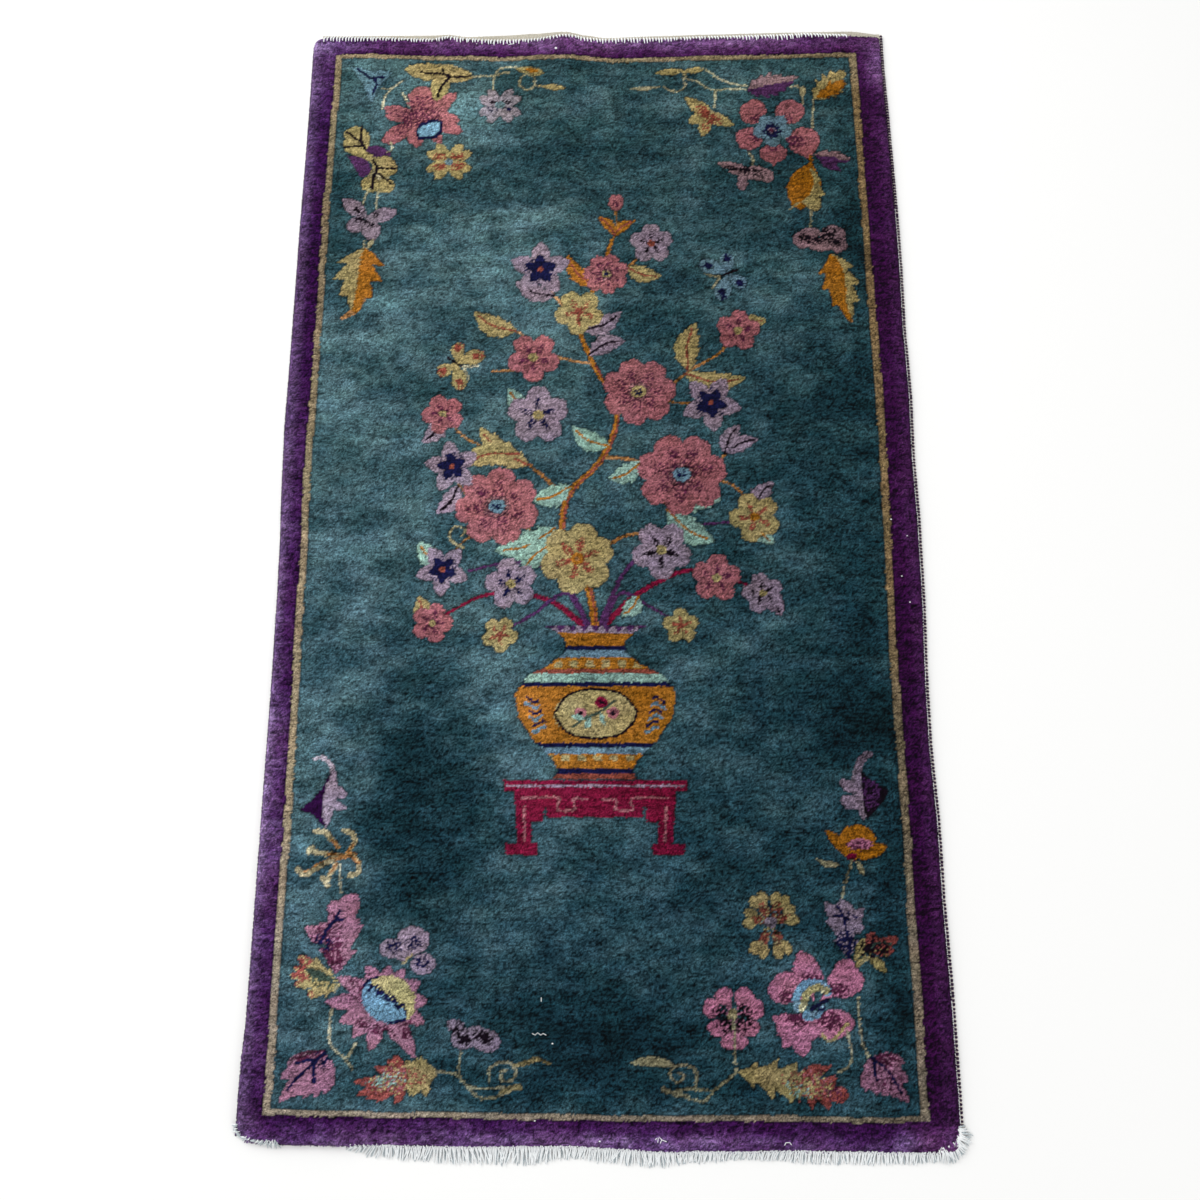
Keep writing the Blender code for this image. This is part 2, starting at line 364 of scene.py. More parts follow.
def oval(yarn, *rows, carve=True):
    """round patches: x, y, both radii and turn of each, and the depth and angle of its notch"""
    for at_x, at_y, rx, ry, *rest in rows:
        turn, cleft, cleft_at = (*rest, 0, 0, 0)[:3]
        place = area([(at_x, at_y)], max(rx, ry) + 14)
        a, b = turned(look_x[place] - at_x, look_y[place] - at_y, turn)
        a, b = a / rx, b / ry
        limit = 1.0
        if cleft:
            off = (np.arctan2(b, a) - math.radians(cleft_at) + np.pi) % (2 * np.pi) - np.pi
            limit = 1 - cleft * np.clip(1 - np.abs(off) / 0.55, 0, 1)
        tie(place, np.hypot(a, b) < limit, yarn, carve)


def leaf(yarn, *rows, other=None, carve=True):
    """leaves or pointed petals, the left half perhaps of another wool: base, tip and width of
    each, and then what differs from LEAF_SHAPE"""
    for base, tip, width, *rest in rows:
        widest, blunt, teeth, depth, bend = (*rest, *LEAF_SHAPE[len(rest):])
        base, tip = np.array(base, float), np.array(tip, float)
        length = math.hypot(*(tip - base))
        way = (tip - base) / length
        place = area([base, tip], width * 0.7 + abs(bend) * length + 14)
        x, y = look_x[place] - base[0], look_y[place] - base[1]
        t = (x * way[0] + y * way[1]) / length
        s = y * way[0] - x * way[1] - bend * length * 4 * t * (1 - t)
        inside = (t > 0) & (t < 1)
        t = np.clip(t, 0, 1)
        reach = np.sin(np.pi * t ** (math.log(0.5) / math.log(widest))) ** blunt
        if teeth:
            reach = reach * (1 - depth + depth * 2 * ((t * teeth) % 1) ** 1.3)
        where = inside & (np.abs(s) < reach * width / 2)
        tie(place, where, yarn, carve)
        if other:
            ragged = 1.5 * np.sin(y * 0.9)
            tie(place, where & (s > ragged), other, False)


def speckle(yarn, on, *rows):
    """loose knots, thickest in the middle and only over the wools named in on: x, y, both radii,
    share and turn of each cloud"""
    for at_x, at_y, rx, ry, share, *turn in rows:
        place = area([(at_x, at_y)], max(rx, ry) + 6)
        a, b = turned(look_x[place] - at_x, look_y[place] - at_y, *(turn or [0]))
        away = np.hypot(a / rx, b / ry)
        chance = share * np.clip(1.25 - away ** 2, 0, 1)
        where = (away < 1) & (random.random(away.shape) < chance)
        if on:
            where &= np.isin(wool[place], [WOOL_NAMES.index(name) for name in on.split()])
        tie(place, where, yarn, False)


def block(points, yarn, carve=True):
    """a patch inside a ring of given corners"""
    points = np.asarray(points, float)
    place = area(points)
    x, y = look_x[place], look_y[place]
    inside = np.zeros(x.shape, bool)
    for (x0, y0), (x1, y1) in zip(points, np.roll(points, -1, axis=0)):
        if y0 != y1:
            crosses = (y0 > y) != (y1 > y)
            inside ^= crosses & (x < x0 + (y - y0) * (x1 - x0) / (y1 - y0))
    tie(place, inside, yarn, carve)


def petals(at, radius, count, width, yarn, turn=0.0, start=0.15, cleft=0.0, flat=1.0):
    """round petals about a point, each notched at its end; flat squashes the flower along y"""
    for i in range(count):
        spot = around(at, radius * (1 + start) / 2, turn + 360 * i / count, flat)
        oval(yarn, (*spot, radius * (1 - start) / 2, width / 2, bearing(at, spot), cleft))


def paired_blossom(at, reach, yarn, width=16.5):
    """four heart-shaped petals with the ground showing between them"""
    for turn in (28, 62):
        petals(at, reach, 4, width, yarn, turn, 0.1, flat=0.86)


def round_petals(heart, ends, yarn, neck=1.5):
    """broad petals that narrow to the heart: x, y, radii and turn of each round end"""
    for x, y, rx, ry, turn in ends:
        leaf(yarn, (heart, (x, y), neck * min(rx, ry), 0.8, 0.7))
        oval(yarn, (x, y, rx, ry, turn, 0.12, bearing(heart, (x, y)) - turn))


def spikes(at, tips, width, yarn, widest=0.35, blunt=0.8):
    """pointed petals from one heart to each tip"""
    leaf(yarn, *[(at, tip, width, widest, blunt) for tip in tips])


def border_and_stripe():
    """the plain purple border and the tan guard stripe inside it"""
    side, end = np.array(SIDE_STRIPE, float)[::-1], np.array(END_STRIPE, float)
    x = knot_x + 0.5 * (look_x - knot_x) + 0.8 * drift(14, 12)
    y = knot_y + 0.5 * (look_y - knot_y) + 0.6 * drift(14, 12)
    depth = np.minimum.reduce([
        (x - np.interp(y, side[:, 0], side[:, 1])) / STRIPE_WIDTH["left"],
        (np.interp(y, side[:, 0], side[:, 2]) - x) / STRIPE_WIDTH["right"],
        (np.interp(x, end[:, 0], end[:, 1]) - y) / STRIPE_WIDTH["far"],
        (y - np.interp(x, end[:, 0], end[:, 2])) / STRIPE_WIDTH["near"],
    ])
    for where, yarn, number in ((depth < 0, "purple", BORDER),
                                ((depth >= 0) & (depth < 1), "stripe", STRIPE)):
        wool[where] = WOOL_NAMES.index(yarn)
        motif[where] = number


def far_left_spray():
    """steel leaf, black-veined sand leaf and flower, rose lily, and what hangs below them"""
    block([(-387, 751), (-374, 752), (-356, 744), (-336, 745), (-321, 741), (-330, 730),
           (-339, 719), (-346, 704), (-351, 686), (-359, 700), (-366, 720), (-377, 737)],
          "steel")
    stem([(-376, 747), (-366, 740), (-354, 731), (-334, 733)], 4.4, "navy")
    stem([(-352, 731), (-345, 722), (-350, 703)], 5.6, "navy", 3.2)
    stems([[(-336, 712), (-322, 712), (-304, 726)], [(-322, 712), (-332, 693), (-333, 678)],
           [(-304, 704), (-296, 690), (-290, 679)]])
    # rose lily with an azure patch
    heart = (-272, 660)
    leaf("rose", (heart, (-273, 716), 44, 0.6, 0.5, 4, 0.12))
    spikes(heart, [(-219, 703), (-227, 688)], 24, "rose", 0.6, 0.65)
    spikes(heart, [(-209, 634), (-213, 656)], 22, "rose", 0.62, 0.6)
    spikes(heart, [(-331, 677), (-329, 664)], 20, "rose", 0.6, 0.65)
    spikes(heart, [(-332, 618), (-323, 613)], 21, "rose", 0.6, 0.6)
    spikes(heart, [(-278, 606), (-289, 614), (-240, 613)], 19, "rose", 0.6, 0.65)
    oval("rose", (*heart, 29, 22), carve=False)
    speckle("wine", "rose", (-274, 664, 34, 20, 0.6, 10), (-296, 645, 26, 11, 0.55, 55),
            (-268, 690, 24, 9, 0.45), (-304, 668, 18, 8, 0.4))
    block([(-281, 638), (-275, 648), (-254, 657), (-239, 654), (-238, 636), (-247, 623),
           (-276, 620)], "navy")
    block([(-277, 637), (-271, 644), (-253, 652), (-243, 650), (-243, 638), (-250, 628),
           (-273, 625)], "azure", False)
    # sand leaf with black veins over it
    leaf("sand", ((-240, 738), (-301, 747), 30, 0.45, 0.6, 2, 0.12),
         ((-262, 740), (-194, 733), 32, 0.42, 0.6, 2, 0.12),
         ((-240, 745), (-250, 690), 30, 0.45, 0.6))
    oval("sand", (-245, 743, 30, 13), carve=False)
    stem([(-276, 741), (-262, 739), (-243, 738), (-230, 732), (-196, 733)], 3.6, "plum")
    stem([(-243, 748), (-238, 738), (-230, 732), (-240, 720), (-246, 708), (-248, 698)], 3.2,
         "plum", 5.0)
    stems([[(-196, 733), (-160, 733), (-152, 738), (-138, 738)],
           [(-160, 733), (-163, 718), (-160, 706)],
           [(-159, 735), (-151, 747), (-130, 748), (-112, 748)]])
    leaf("sand", ((-130, 747), (-84, 738), 15, 0.6, 0.7))
    leaf("ochre", ((-112, 745), (-92, 740), 9, 0.5, 0.6), carve=False)
    stem([(-112, 735), (-120, 728), (-121, 716), (-110, 708), (-99, 713), (-98, 728), (-106, 735),
          (-112, 735)])
    stem([(-99, 715), (-78, 714)], 3.4)
    leaf("sand", ((-92, 715), (-50, 711), 10, 0.6, 0.7))
    # pearl and sand blossoms of eight lobes
    paired_blossom((-151, 680), 36, "pearl")
    oval("grey", (-151, 681, 8, 7), carve=False)
    for x in (-162, -139):
        speckle("plum", "pearl teal", (x, 686, 10, 5, 0.6))
        speckle("navy", "pearl teal", (x, 674, 10, 5, 0.55))
    paired_blossom((-227, 583), 38, "sand", 17)
    for dx, dy in ((-13, 9), (13, 10), (-13, -9), (13, -8)):
        speckle("rust", "sand", (-227 + dx, 582 + dy, 12, 7, 0.75))
    oval("grey", (-227, 582, 6, 6), carve=False)
    # black-veined sand flower with violet folds
    leaf("violet", ((-358, 604), (-316, 595), 20, 0.45, 0.7))
    block([(-384, 594), (-356, 596), (-343, 563), (-362, 556), (-372, 574)], "violet")
    oval("sand", (-372, 620, 24, 22, 100, 0.2, 75))
    stem([(-374, 602), (-352, 592), (-332, 577)], 13, "sand", 11, carve=True)
    oval("sand", (-325, 575, 20, 17, -20, 0.15, 50), (-346, 544, 14, 14, 0, 0.2, -120),
         (-324, 541, 15, 13, 0, 0.2, -90))
    oval("sand", (-334, 556, 17, 15), carve=False)
    stem([(-364, 645), (-364, 622), (-356, 603)], 4.0, "plum", 4.4)
    stem([(-386, 634), (-376, 626), (-364, 617)], 3.8, "plum")
    stem([(-390, 608), (-364, 610)], 3.4, "plum")
    stem([(-344, 585), (-337, 572), (-341, 558), (-343, 538)], 4.2, "plum", 5.8)
    stem([(-337, 572), (-307, 571)], 3.8, "plum")
    stem([(-340, 566), (-325, 555), (-313, 544)], 3.2, "plum", 4.6)
    stems([[(-318, 617), (-316, 604), (-322, 600)], [(-347, 536), (-354, 520), (-355, 506)],
           [(-333, 533), (-335, 515), (-334, 500)]])
    # lilac lily, speckled
    spikes((-347, 486), [(-388, 520), (-303, 498)], 24, "lilac", 0.5, 0.8)
    oval("lilac", (-364, 475, 15, 13, 15))
    leaf("lilac", ((-345, 492), (-338, 447), 28, 0.55, 0.7))
    leaf("stem", ((-337, 452), (-347, 432), 7))
    for dx, dy, reach in ((-14, 16, 11), (-8, 3, 13), (4, -8, 12), (10, 10, 9), (-17, 0, 9)):
        speckle("plum", "lilac", (-347 + dx, 483 + dy, reach, reach * 0.5, 0.7, -20))
    # serrated leaf, sand on its left and ochre on its right
    leaf("sand", ((-350, 436), (-358, 330), 60, 0.36, 0.75, 4, 0.32, -0.03), other="ochre")
    stem([(-351, 355), (-358, 335), (-376, 322)], 17, "ochre", 7)
    stem([(-350, 448), (-351, 436)])


def far_right_spray():
    """scrolls, sand star, violet-backed leaves, rose blossom and two ochre leaves"""
    leaf("sand", ((136, 742), (92, 737), 11, 0.5, 0.6))
    stem([(95, 737), (112, 742), (135, 739), (137, 730)], 5.0, "sand", 4.0)
    leaf("sand", ((134, 739), (167, 744), 10, 0.5, 0.7))
    stems([[(160, 745), (172, 741), (188, 728), (207, 718), (232, 713)],
           [(134, 728), (137, 714), (127, 704), (112, 706), (104, 712)]])
    stem([(54, 708), (72, 709), (98, 712)], 2.6, "stem", 2.6, 5.0)
    stems([[(137, 727), (155, 722), (166, 713), (183, 706), (208, 708), (232, 706)],
           [(183, 707), (183, 692), (182, 676)]])
    spikes((170, 661), [(137, 695), (211, 643), (140, 649), (162, 623), (152, 690)], 21, "sand",
           0.4, 0.75)
    oval("sand", (168, 660, 18, 14, -25), carve=False)
    speckle("rust", "sand", (163, 668, 17, 11, 0.75, -45), (178, 654, 18, 11, 0.75, -20),
            (168, 640, 8, 9, 0.5))
    leaf("violet", ((234, 705), (305, 722), 40, 0.45, 0.7, 5, 0.2, 0.02), other="mauve")
    leaf("mauve", ((285, 722), (316, 730), 10))
    stem([(301, 710), (312, 711), (319, 701), (318, 680)])
    leaf("stem", ((321, 712), (317, 690), 9, 0.42, 0.6))
    leaf("sand", ((336, 690), (386, 738), 36, 0.5, 0.65, 5, 0.35))
    leaf("ochre", ((338, 690), (386, 719), 22, 0.6, 0.6, 3, 0.25))
    stem([(335, 688), (333, 660), (331, 634)])
    # rose blossom of five petals, its heart a sky star round a navy ring
    heart = (269, 634)
    round_petals(heart, ((241, 667, 22, 20, 60), (298, 667, 23, 21, 30), (233, 620, 21, 19, 0),
                         (318, 615, 25, 24, 0), (270, 594, 21, 16, 0)), "rose")
    leaf("rose", ((268, 600), (270, 572), 22), ((318, 610), (326, 583), 22))
    for x, y in ((248, 655), (292, 655), (242, 621), (300, 616), (270, 605)):
        speckle("wine", "rose", (x, y, 13, 9, 0.6))
    speckle("wine", "rose", (303, 615, 20, 11, 0.55))
    spikes(heart, [(255, 661), (289, 659), (301, 630), (270, 604), (240, 630)], 24, "sky",
           0.58, 0.65)
    oval("sky", (*heart, 19, 17), carve=False)
    speckle("navy", None, (*heart, 16, 15, 0.85))
    oval("navy", (*heart, 10, 9), carve=False)
    speckle("lilac", None, (*heart, 7, 6, 0.7))
    oval("wine", (*heart, 3.5, 3.5), carve=False)
    stem([(233, 597), (238, 586), (238, 574)], 3.4)
    # speckled mauve blooms
    leaf("mauve", ((236, 561), (184, 578), 17, 0.4, 0.8))
    oval("mauve", (216, 565, 16, 9, -8), (242, 560, 21, 12, -4), (259, 555, 10, 12, 20))
    leaf("mauve", ((222, 563), (221, 531), 16, 0.6, 0.5))
    speckle("plum", "mauve", (205, 568, 13, 5, 0.7, -10), (226, 566, 12, 8, 0.75, 20),
            (245, 560, 15, 8, 0.65))
    leaf("violet", ((333, 592), (388, 582), 22, 0.5, 0.7, 3, 0.25), other="mauve")
    leaf("violet", ((340, 588), (371, 562), 18))
    leaf("mauve", ((362, 592), (385, 582), 12))
    stem([(327, 588), (325, 565)], 6.0, "ochre", 9)
    leaf("ochre", ((326, 576), (304, 499), 50, 0.55, 0.6))
    leaf("sand", ((327, 568), (330, 496), 34, 0.55, 0.5, 3, 0.25, -0.05))
    leaf("ochre", ((322, 566), (303, 510), 32, 0.5, 0.7), carve=False)
    block([(288, 495), (302, 510), (330, 506), (342, 497), (334, 510), (316, 515)], "sand", False)
    stem([(324, 497), (323, 482), (321, 466)])
    oval("mauve", (311, 447, 17, 15, 0, 0.15, -80), (320, 456, 16, 11, 10),
         (355, 455, 19, 17, 0, 0.15, 60), (363, 437, 13, 12, 0, 0.2, -60), (338, 439, 22, 11))
    for dx, dy in ((-22, 2), (-10, -3), (2, 0), (14, 4), (24, -4), (14, 13)):
        speckle("plum", "mauve", (334 + dx, 448 + dy, 12, 8, 0.7))
    leaf("ochre", ((352, 423), (374, 316), 47, 0.4, 0.75, 4, 0.28), other="sand")
    leaf("ochre", ((352, 420), (366, 330), 30, 0.4, 0.8, 0, 0.3, -0.04), carve=False)
    stem([(362, 345), (368, 328), (375, 314)], 13, "ochre", 5)


def near_left_spray():
    """folded lilac leaf, honeysuckle, pink leaves, the great pink daisy and a spiral scroll"""
    stem([(-377, -324), (-366, -322), (-355, -332), (-352, -346)], 5.5, "lilac", 6.5)
    block([(-353, -340), (-366, -364), (-379, -380), (-393, -391), (-374, -398), (-361, -413),
           (-354, -396), (-350, -370)], "purple")
    leaf("lilac", ((-350, -338), (-357, -414), 17, 0.5, 0.7),
         ((-352, -362), (-330, -374), 14, 0.42, 0.7), ((-353, -382), (-332, -389), 12, 0.42, 0.7))
    # honeysuckle with curled tips
    stem([(-391, -469), (-380, -473), (-362, -463), (-338, -452), (-318, -449)], 7, "ochre", 9)
    for line in ([(-369, -419), (-357, -420), (-347, -430), (-338, -440)],
                 [(-377, -442), (-366, -446), (-352, -448), (-330, -450)],
                 [(-331, -418), (-320, -423), (-318, -434), (-325, -444)],
                 [(-321, -475), (-311, -471), (-310, -460), (-322, -449)],
                 [(-352, -485), (-347, -473), (-340, -461)]):
        stem(line, 7.4, "sand", 6.0)
        stem(line[-2:], 3.0, "ochre", 4.5)
    for line in ([(-391, -468), (-380, -474), (-362, -464), (-345, -456)],
                 [(-357, -478), (-349, -488)], [(-376, -445), (-372, -440)]):
        stem(line, 7.5, "sand", 6)
    stem([(-335, -462), (-334, -480), (-332, -497)])
    # pink leaf, navy in its veins and speckled towards its stalk
    leaf("pink", ((-333, -597), (-328, -505), 47, 0.55, 0.55, 3, 0.25),
         ((-345, -556), (-377, -540), 22, 0.4), ((-335, -535), (-311, -499), 30, 0.5, 0.6),
         ((-335, -535), (-342, -506), 20, 0.5, 0.6), ((-330, -545), (-306, -530), 20, 0.5, 0.7))
    for y, share in ((-530, 0.25), (-548, 0.4), (-560, 0.6), (-572, 0.75), (-585, 0.8)):
        speckle("wine", "pink", (-345, y, 26, 10, share, -20))
    speckle("navy", "pink wine", (-352, -560, 14, 12, 0.6, -50))
    stem([(-332, -519), (-337, -532), (-346, -541), (-352, -552)], 5.0, "navy", 4.0)
    stem([(-337, -532), (-326, -530)], yarn="navy")
    # small sand leaf, speckled and veined
    leaf("sand", ((-328, -608), (-383, -576), 17, 0.6, 0.6, 3, 0.35))
    spikes((-336, -606), [(-392, -599), (-388, -590), (-386, -610)], 13, "sand", 0.65, 0.7)
    leaf("sand", ((-326, -610), (-368, -623), 15, 0.6, 0.5, 2))
    leaf("moss", ((-336, -606), (-374, -592), 11, 0.42, 0.7))
    speckle("brick", "sand", (-380, -598, 16, 16, 0.75, 20), (-374, -580, 14, 8, 0.7, 20),
            (-366, -620, 9, 6, 0.5))
    speckle("moss", "sand", (-352, -604, 24, 10, 0.4, -20))
    stem([(-366, -594), (-344, -604), (-322, -603)], yarn="moss")
    stem([(-330, -611), (-333, -620)])
    # great pink daisy, its eye half cream and half azure
    heart = (-268, -630)
    spikes(heart, [(-345, -632), (-331, -602), (-325, -656), (-308, -674), (-285, -690)], 21,
           "pink", 0.55, 0.75)
    spikes(heart, [(-293, -587), (-265, -587), (-245, -591), (-224, -606), (-213, -630)], 20,
           "pink", 0.6, 0.75)
    spikes(heart, [(-227, -697), (-217, -658), (-248, -680), (-238, -672)], 21, "pink", 0.55, 0.75)
    oval("pink", (*heart, 41, 35), carve=False)
    speckle("wine", "pink", (-300, -615, 22, 20, 0.4, 30), (-280, -662, 32, 9, 0.5, -15),
            (-237, -664, 14, 12, 0.6, -40))
    oval("azure", (-264, -629, 35, 27, -22))
    block([(-288, -606), (-278, -616), (-268, -619), (-258, -629), (-248, -634), (-242, -644),
           (-236, -652), (-229, -643), (-230, -622), (-243, -606), (-262, -598), (-280, -600)],
          "cream", False)
    stem([(-296, -612), (-288, -604), (-278, -601)], 4.5, "navy", 2.5)
    stem([(-290, -618), (-282, -612), (-278, -622), (-270, -618), (-264, -630), (-257, -625),
          (-252, -639), (-245, -634), (-241, -646)], 2.8, "navy", 3.6)
    speckle("navy", "cream azure", (-268, -624, 26, 8, 0.45, -35))
    stem([(-262, -655), (-250, -655), (-240, -651)], 3.0, "navy", 4)
    # speckled lilac bloom of three lobes
    for x, y, rx, ry in ((-264, -566, 14, 12), (-247, -570, 15, 11), (-235, -556, 21, 17),
                         (-221, -585, 16, 13)):
        oval("lilac", (x, y, rx, ry))
    for x, y in ((-259, -563), (-234, -560), (-224, -582)):
        speckle("navy", "lilac", (x, y, 12, 10, 0.65))
    stem([(-246, -584), (-236, -574)], 3.5, "sand")
    stems([[(-336, -640), (-337, -662), (-333, -684), (-318, -697), (-305, -712)],
           [(-303, -681), (-309, -692), (-313, -698)]])
    # pink corner leaf with navy veins
    spikes((-342, -689), [(-395, -749), (-378, -744), (-366, -746), (-351, -745), (-337, -741),
                          (-331, -732), (-396, -722)], 17, "pink", 0.62, 0.65)
    oval("pink", (-362, -702, 26, 13, 12), (-362, -713, 27, 13, 14), carve=False)
    speckle("wine", "pink", (-362, -693, 28, 10, 0.8, 10))
    speckle("navy", "pink wine", (-345, -700, 14, 14, 0.5, 50))
    stem([(-340, -690), (-358, -707), (-374, -722), (-386, -736)], 4.2, "navy", 3.0)
    stem([(-356, -705), (-354, -716), (-353, -726)], 4.2, "navy", 5)
    stem([(-352, -700), (-368, -702), (-378, -705)], 3.4, "navy")
    # brick, mint and sand leaf running out into the scroll
    leaf("sand", ((-198, -715), (-256, -724), 36, 0.45, 0.65, 3, 0.35))
    spikes((-236, -722), [(-303, -727), (-298, -741), (-277, -708), (-253, -695), (-274, -749),
                          (-249, -752), (-262, -699), (-286, -746)], 12, "brick", 0.55, 0.65)
    spikes((-218, -718), [(-224, -698), (-236, -702), (-210, -742), (-228, -743)], 13, "sand",
           0.5, 0.7)
    oval("brick", (-258, -724, 24, 9, 8), carve=False)
    speckle("mint", "brick", (-260, -724, 28, 9, 0.38, 8))
    speckle("sand", "brick", (-250, -722, 34, 20, 0.35, 8))
    speckle("rose", "brick", (-256, -722, 38, 18, 0.3, 8))
    speckle("brick", "sand", (-226, -722, 18, 12, 0.3))
    stem([(-200, -714), (-184, -715), (-172, -718), (-160, -731), (-143, -744), (-122, -742),
          (-104, -734), (-94, -731)], 3.6, "stem", 4.0)
    stem([(-162, -729), (-140, -733), (-112, -731)])
    stem([(-117, -737), (-104, -733), (-94, -731)], 6.0, "sand", 8.0)
    stem([(-132, -726), (-132, -711), (-120, -702), (-104, -705), (-99, -716), (-105, -724),
          (-116, -723), (-118, -714), (-111, -712)], 3.6)
    stem([(-102, -706), (-86, -703), (-73, -699), (-55, -704)], 4.8, "sand", 3.0, 3.0)
    stem([(-169, -688), (-170, -702), (-171, -717)])
    for x, y, rx, ry in ((-176, -660, 12, 8), (-167, -675, 15, 13), (-150, -672, 14, 12),
                         (-138, -677, 19, 13)):
        oval("lilac", (x, y, rx, ry, -15))
    for x, y in ((-172, -664), (-165, -676), (-145, -671), (-138, -675)):
        speckle("plum", "lilac", (x, y, 11, 8, 0.75))


def near_right_spray():
    """folded lilac leaf, bud, lilac leaf, sand and blush blossoms and a spiral scroll"""
    stem([(369, -316), (360, -320), (351, -334), (348, -352)], 8, "lilac", 13)
    leaf("lilac", ((351, -336), (356, -404), 17, 0.5, 0.7),
         ((349, -366), (325, -351), 15, 0.42, 0.7), ((352, -386), (325, -374), 18, 0.5, 0.7))
    block([(354, -338), (364, -348), (374, -355), (389, -363), (383, -378), (372, -390),
           (360, -402), (355, -388), (355, -362)], "plum")
    speckle("violet", "plum", (366, -368, 14, 24, 0.6))
    # ochre bud with a blush and wine throat
    leaf("ochre", ((344, -452), (303, -416), 18, 0.4, 0.8),
         ((340, -450), (384, -436), 18, 0.5, 0.7))
    oval("ochre", (345, -428, 24, 19))
    oval("blush", (348, -434, 17, 7), carve=False)
    speckle("wine", "blush ochre", (346, -436, 18, 8, 0.5))
    oval("crimson", (337, -450, 7, 5), carve=False)
    leaf("stem", ((320, -460), (290, -452), 8, 0.45, 1.0, 0, 0.3, 0.1),
         ((342, -452), (351, -474), 8, 0.6))
    stem([(337, -455), (331, -470), (327, -482), (321, -502)])
    # lilac leaf with navy veins, breaking up towards its foot
    leaf("lilac", ((326, -578), (322, -505), 34, 0.6, 0.55, 3, 0.25))
    spikes((325, -540), [(320, -502), (298, -507), (349, -514), (300, -530), (348, -538)], 17,
           "lilac", 0.5, 0.75)
    stem([(315, -513), (322, -523), (324, -538), (328, -560), (326, -578)], 4.0, "navy", 4.0)
    speckle("navy", "lilac", (326, -556, 13, 18, 0.45, 80))
    stem([(309, -525), (322, -524)], yarn="navy")
    speckle("navy", "lilac", (332, -525, 9, 6, 0.6), (326, -560, 20, 20, 0.55))
    # small sand leaf, speckled and veined
    leaf("sand", ((336, -588), (347, -552), 15, 0.6, 0.6))
    spikes((352, -568), [(360, -544), (391, -551), (384, -566), (378, -560)], 15, "brick",
           0.6, 0.75)
    oval("brick", (362, -561, 13, 10), carve=False)
    leaf("sand", ((350, -570), (375, -594), 13, 0.5))
    stem([(337, -585), (350, -577), (366, -578)], 5.0, "sand", 4)
    stem([(340, -577), (352, -566), (362, -558), (382, -558)], yarn="moss")
    stem([(344, -572), (356, -560), (360, -550)], yarn="plum")
    speckle("plum", "brick sand", (360, -564, 22, 14, 0.6))
    speckle("sand", "brick", (368, -566, 18, 12, 0.25))
    # sand blossom of six double petals
    heart = (228, -532)
    for angle, reach in ((17, 28), (65, 30), (118, 31), (171, 27), (245, 38), (292, 37)):
        for turn in (angle - 330 / reach, angle + 330 / reach):
            oval("sand", (*around(heart, reach, turn), 9, 7, turn))
        middle = around(heart, 0.8 * reach, angle)
        oval("sand", (*middle, 9, 7, angle), carve=False)
        leaf("sand", (heart, middle, 13, 0.7, 0.7), carve=False)
        speckle("rust", "sand", (*around(heart, 0.52 * reach, angle), 12, 7, 0.8, angle))
    oval("lilac", (*heart, 8, 7), carve=False)
    speckle("grey", "teal rust", (*heart, 15, 15, 0.25))
    # great blush blossom with a crooked azure and cream eye
    heart = (280, -632)
    round_petals(heart, ((273, -602, 20, 18, -20), (245, -612, 24, 19, 20), (321, -604, 25, 19, 25),
                         (258, -662, 27, 18, 0), (303, -656, 26, 18, 5)), "blush", 1.5)
    leaf("blush", ((276, -612), (266, -568), 34, 0.45, 0.6),
         ((312, -606), (329, -577), 26, 0.5, 0.6), ((258, -655), (225, -648), 18),
         ((262, -662), (263, -695), 22, 0.5, 0.6), ((252, -665), (240, -684), 14, 0.5, 0.6))
    oval("blush", (278, -652, 18, 9), carve=False)
    for x, y in ((248, -624), (276, -602), (311, -615), (258, -650), (296, -648), (301, -655)):
        speckle("wine", "blush", (x, y, 17, 10, 0.7))
    stem([(258, -636), (258, -622), (272, -608), (292, -610), (297, -618)], 11, "azure")
    stem([(270, -646), (284, -644), (292, -630)], 12, "azure", 6)
    stem([(264, -637), (270, -622), (284, -612), (295, -616)], 9, "cream", 10)
    stem([(276, -638), (286, -632), (296, -627)], 5, "navy")
    speckle("navy", "azure cream blush", (284, -634, 14, 9, 0.5, 20))
    stem([(288, -668), (300, -675), (320, -655)], yarn="sand")
    # blush blossom of seven petals with a sand heart and a long pistil
    heart = (176, -646)
    round_petals(heart, ((165, -623, 11, 11, 0), (191, -623, 12, 11, 0), (149, -637, 11, 12, 20),
                         (205, -638, 11, 13, 0), (157, -661, 13, 10, 0), (197, -661, 13, 10, 0),
                         (177, -677, 17, 11, 0)), "blush", 1.1)
    oval("blush", (177, -664, 11, 14), carve=False)
    for x, y in ((162, -642), (190, -642), (166, -658), (190, -658)):
        speckle("plum", "blush teal", (x, y, 13, 10, 0.65))
    oval("sand", (175, -645, 7, 7), carve=False)
    stem([(176, -648), (178, -668), (177, -690), (179, -713)], 3.4, "stem", 2.8)
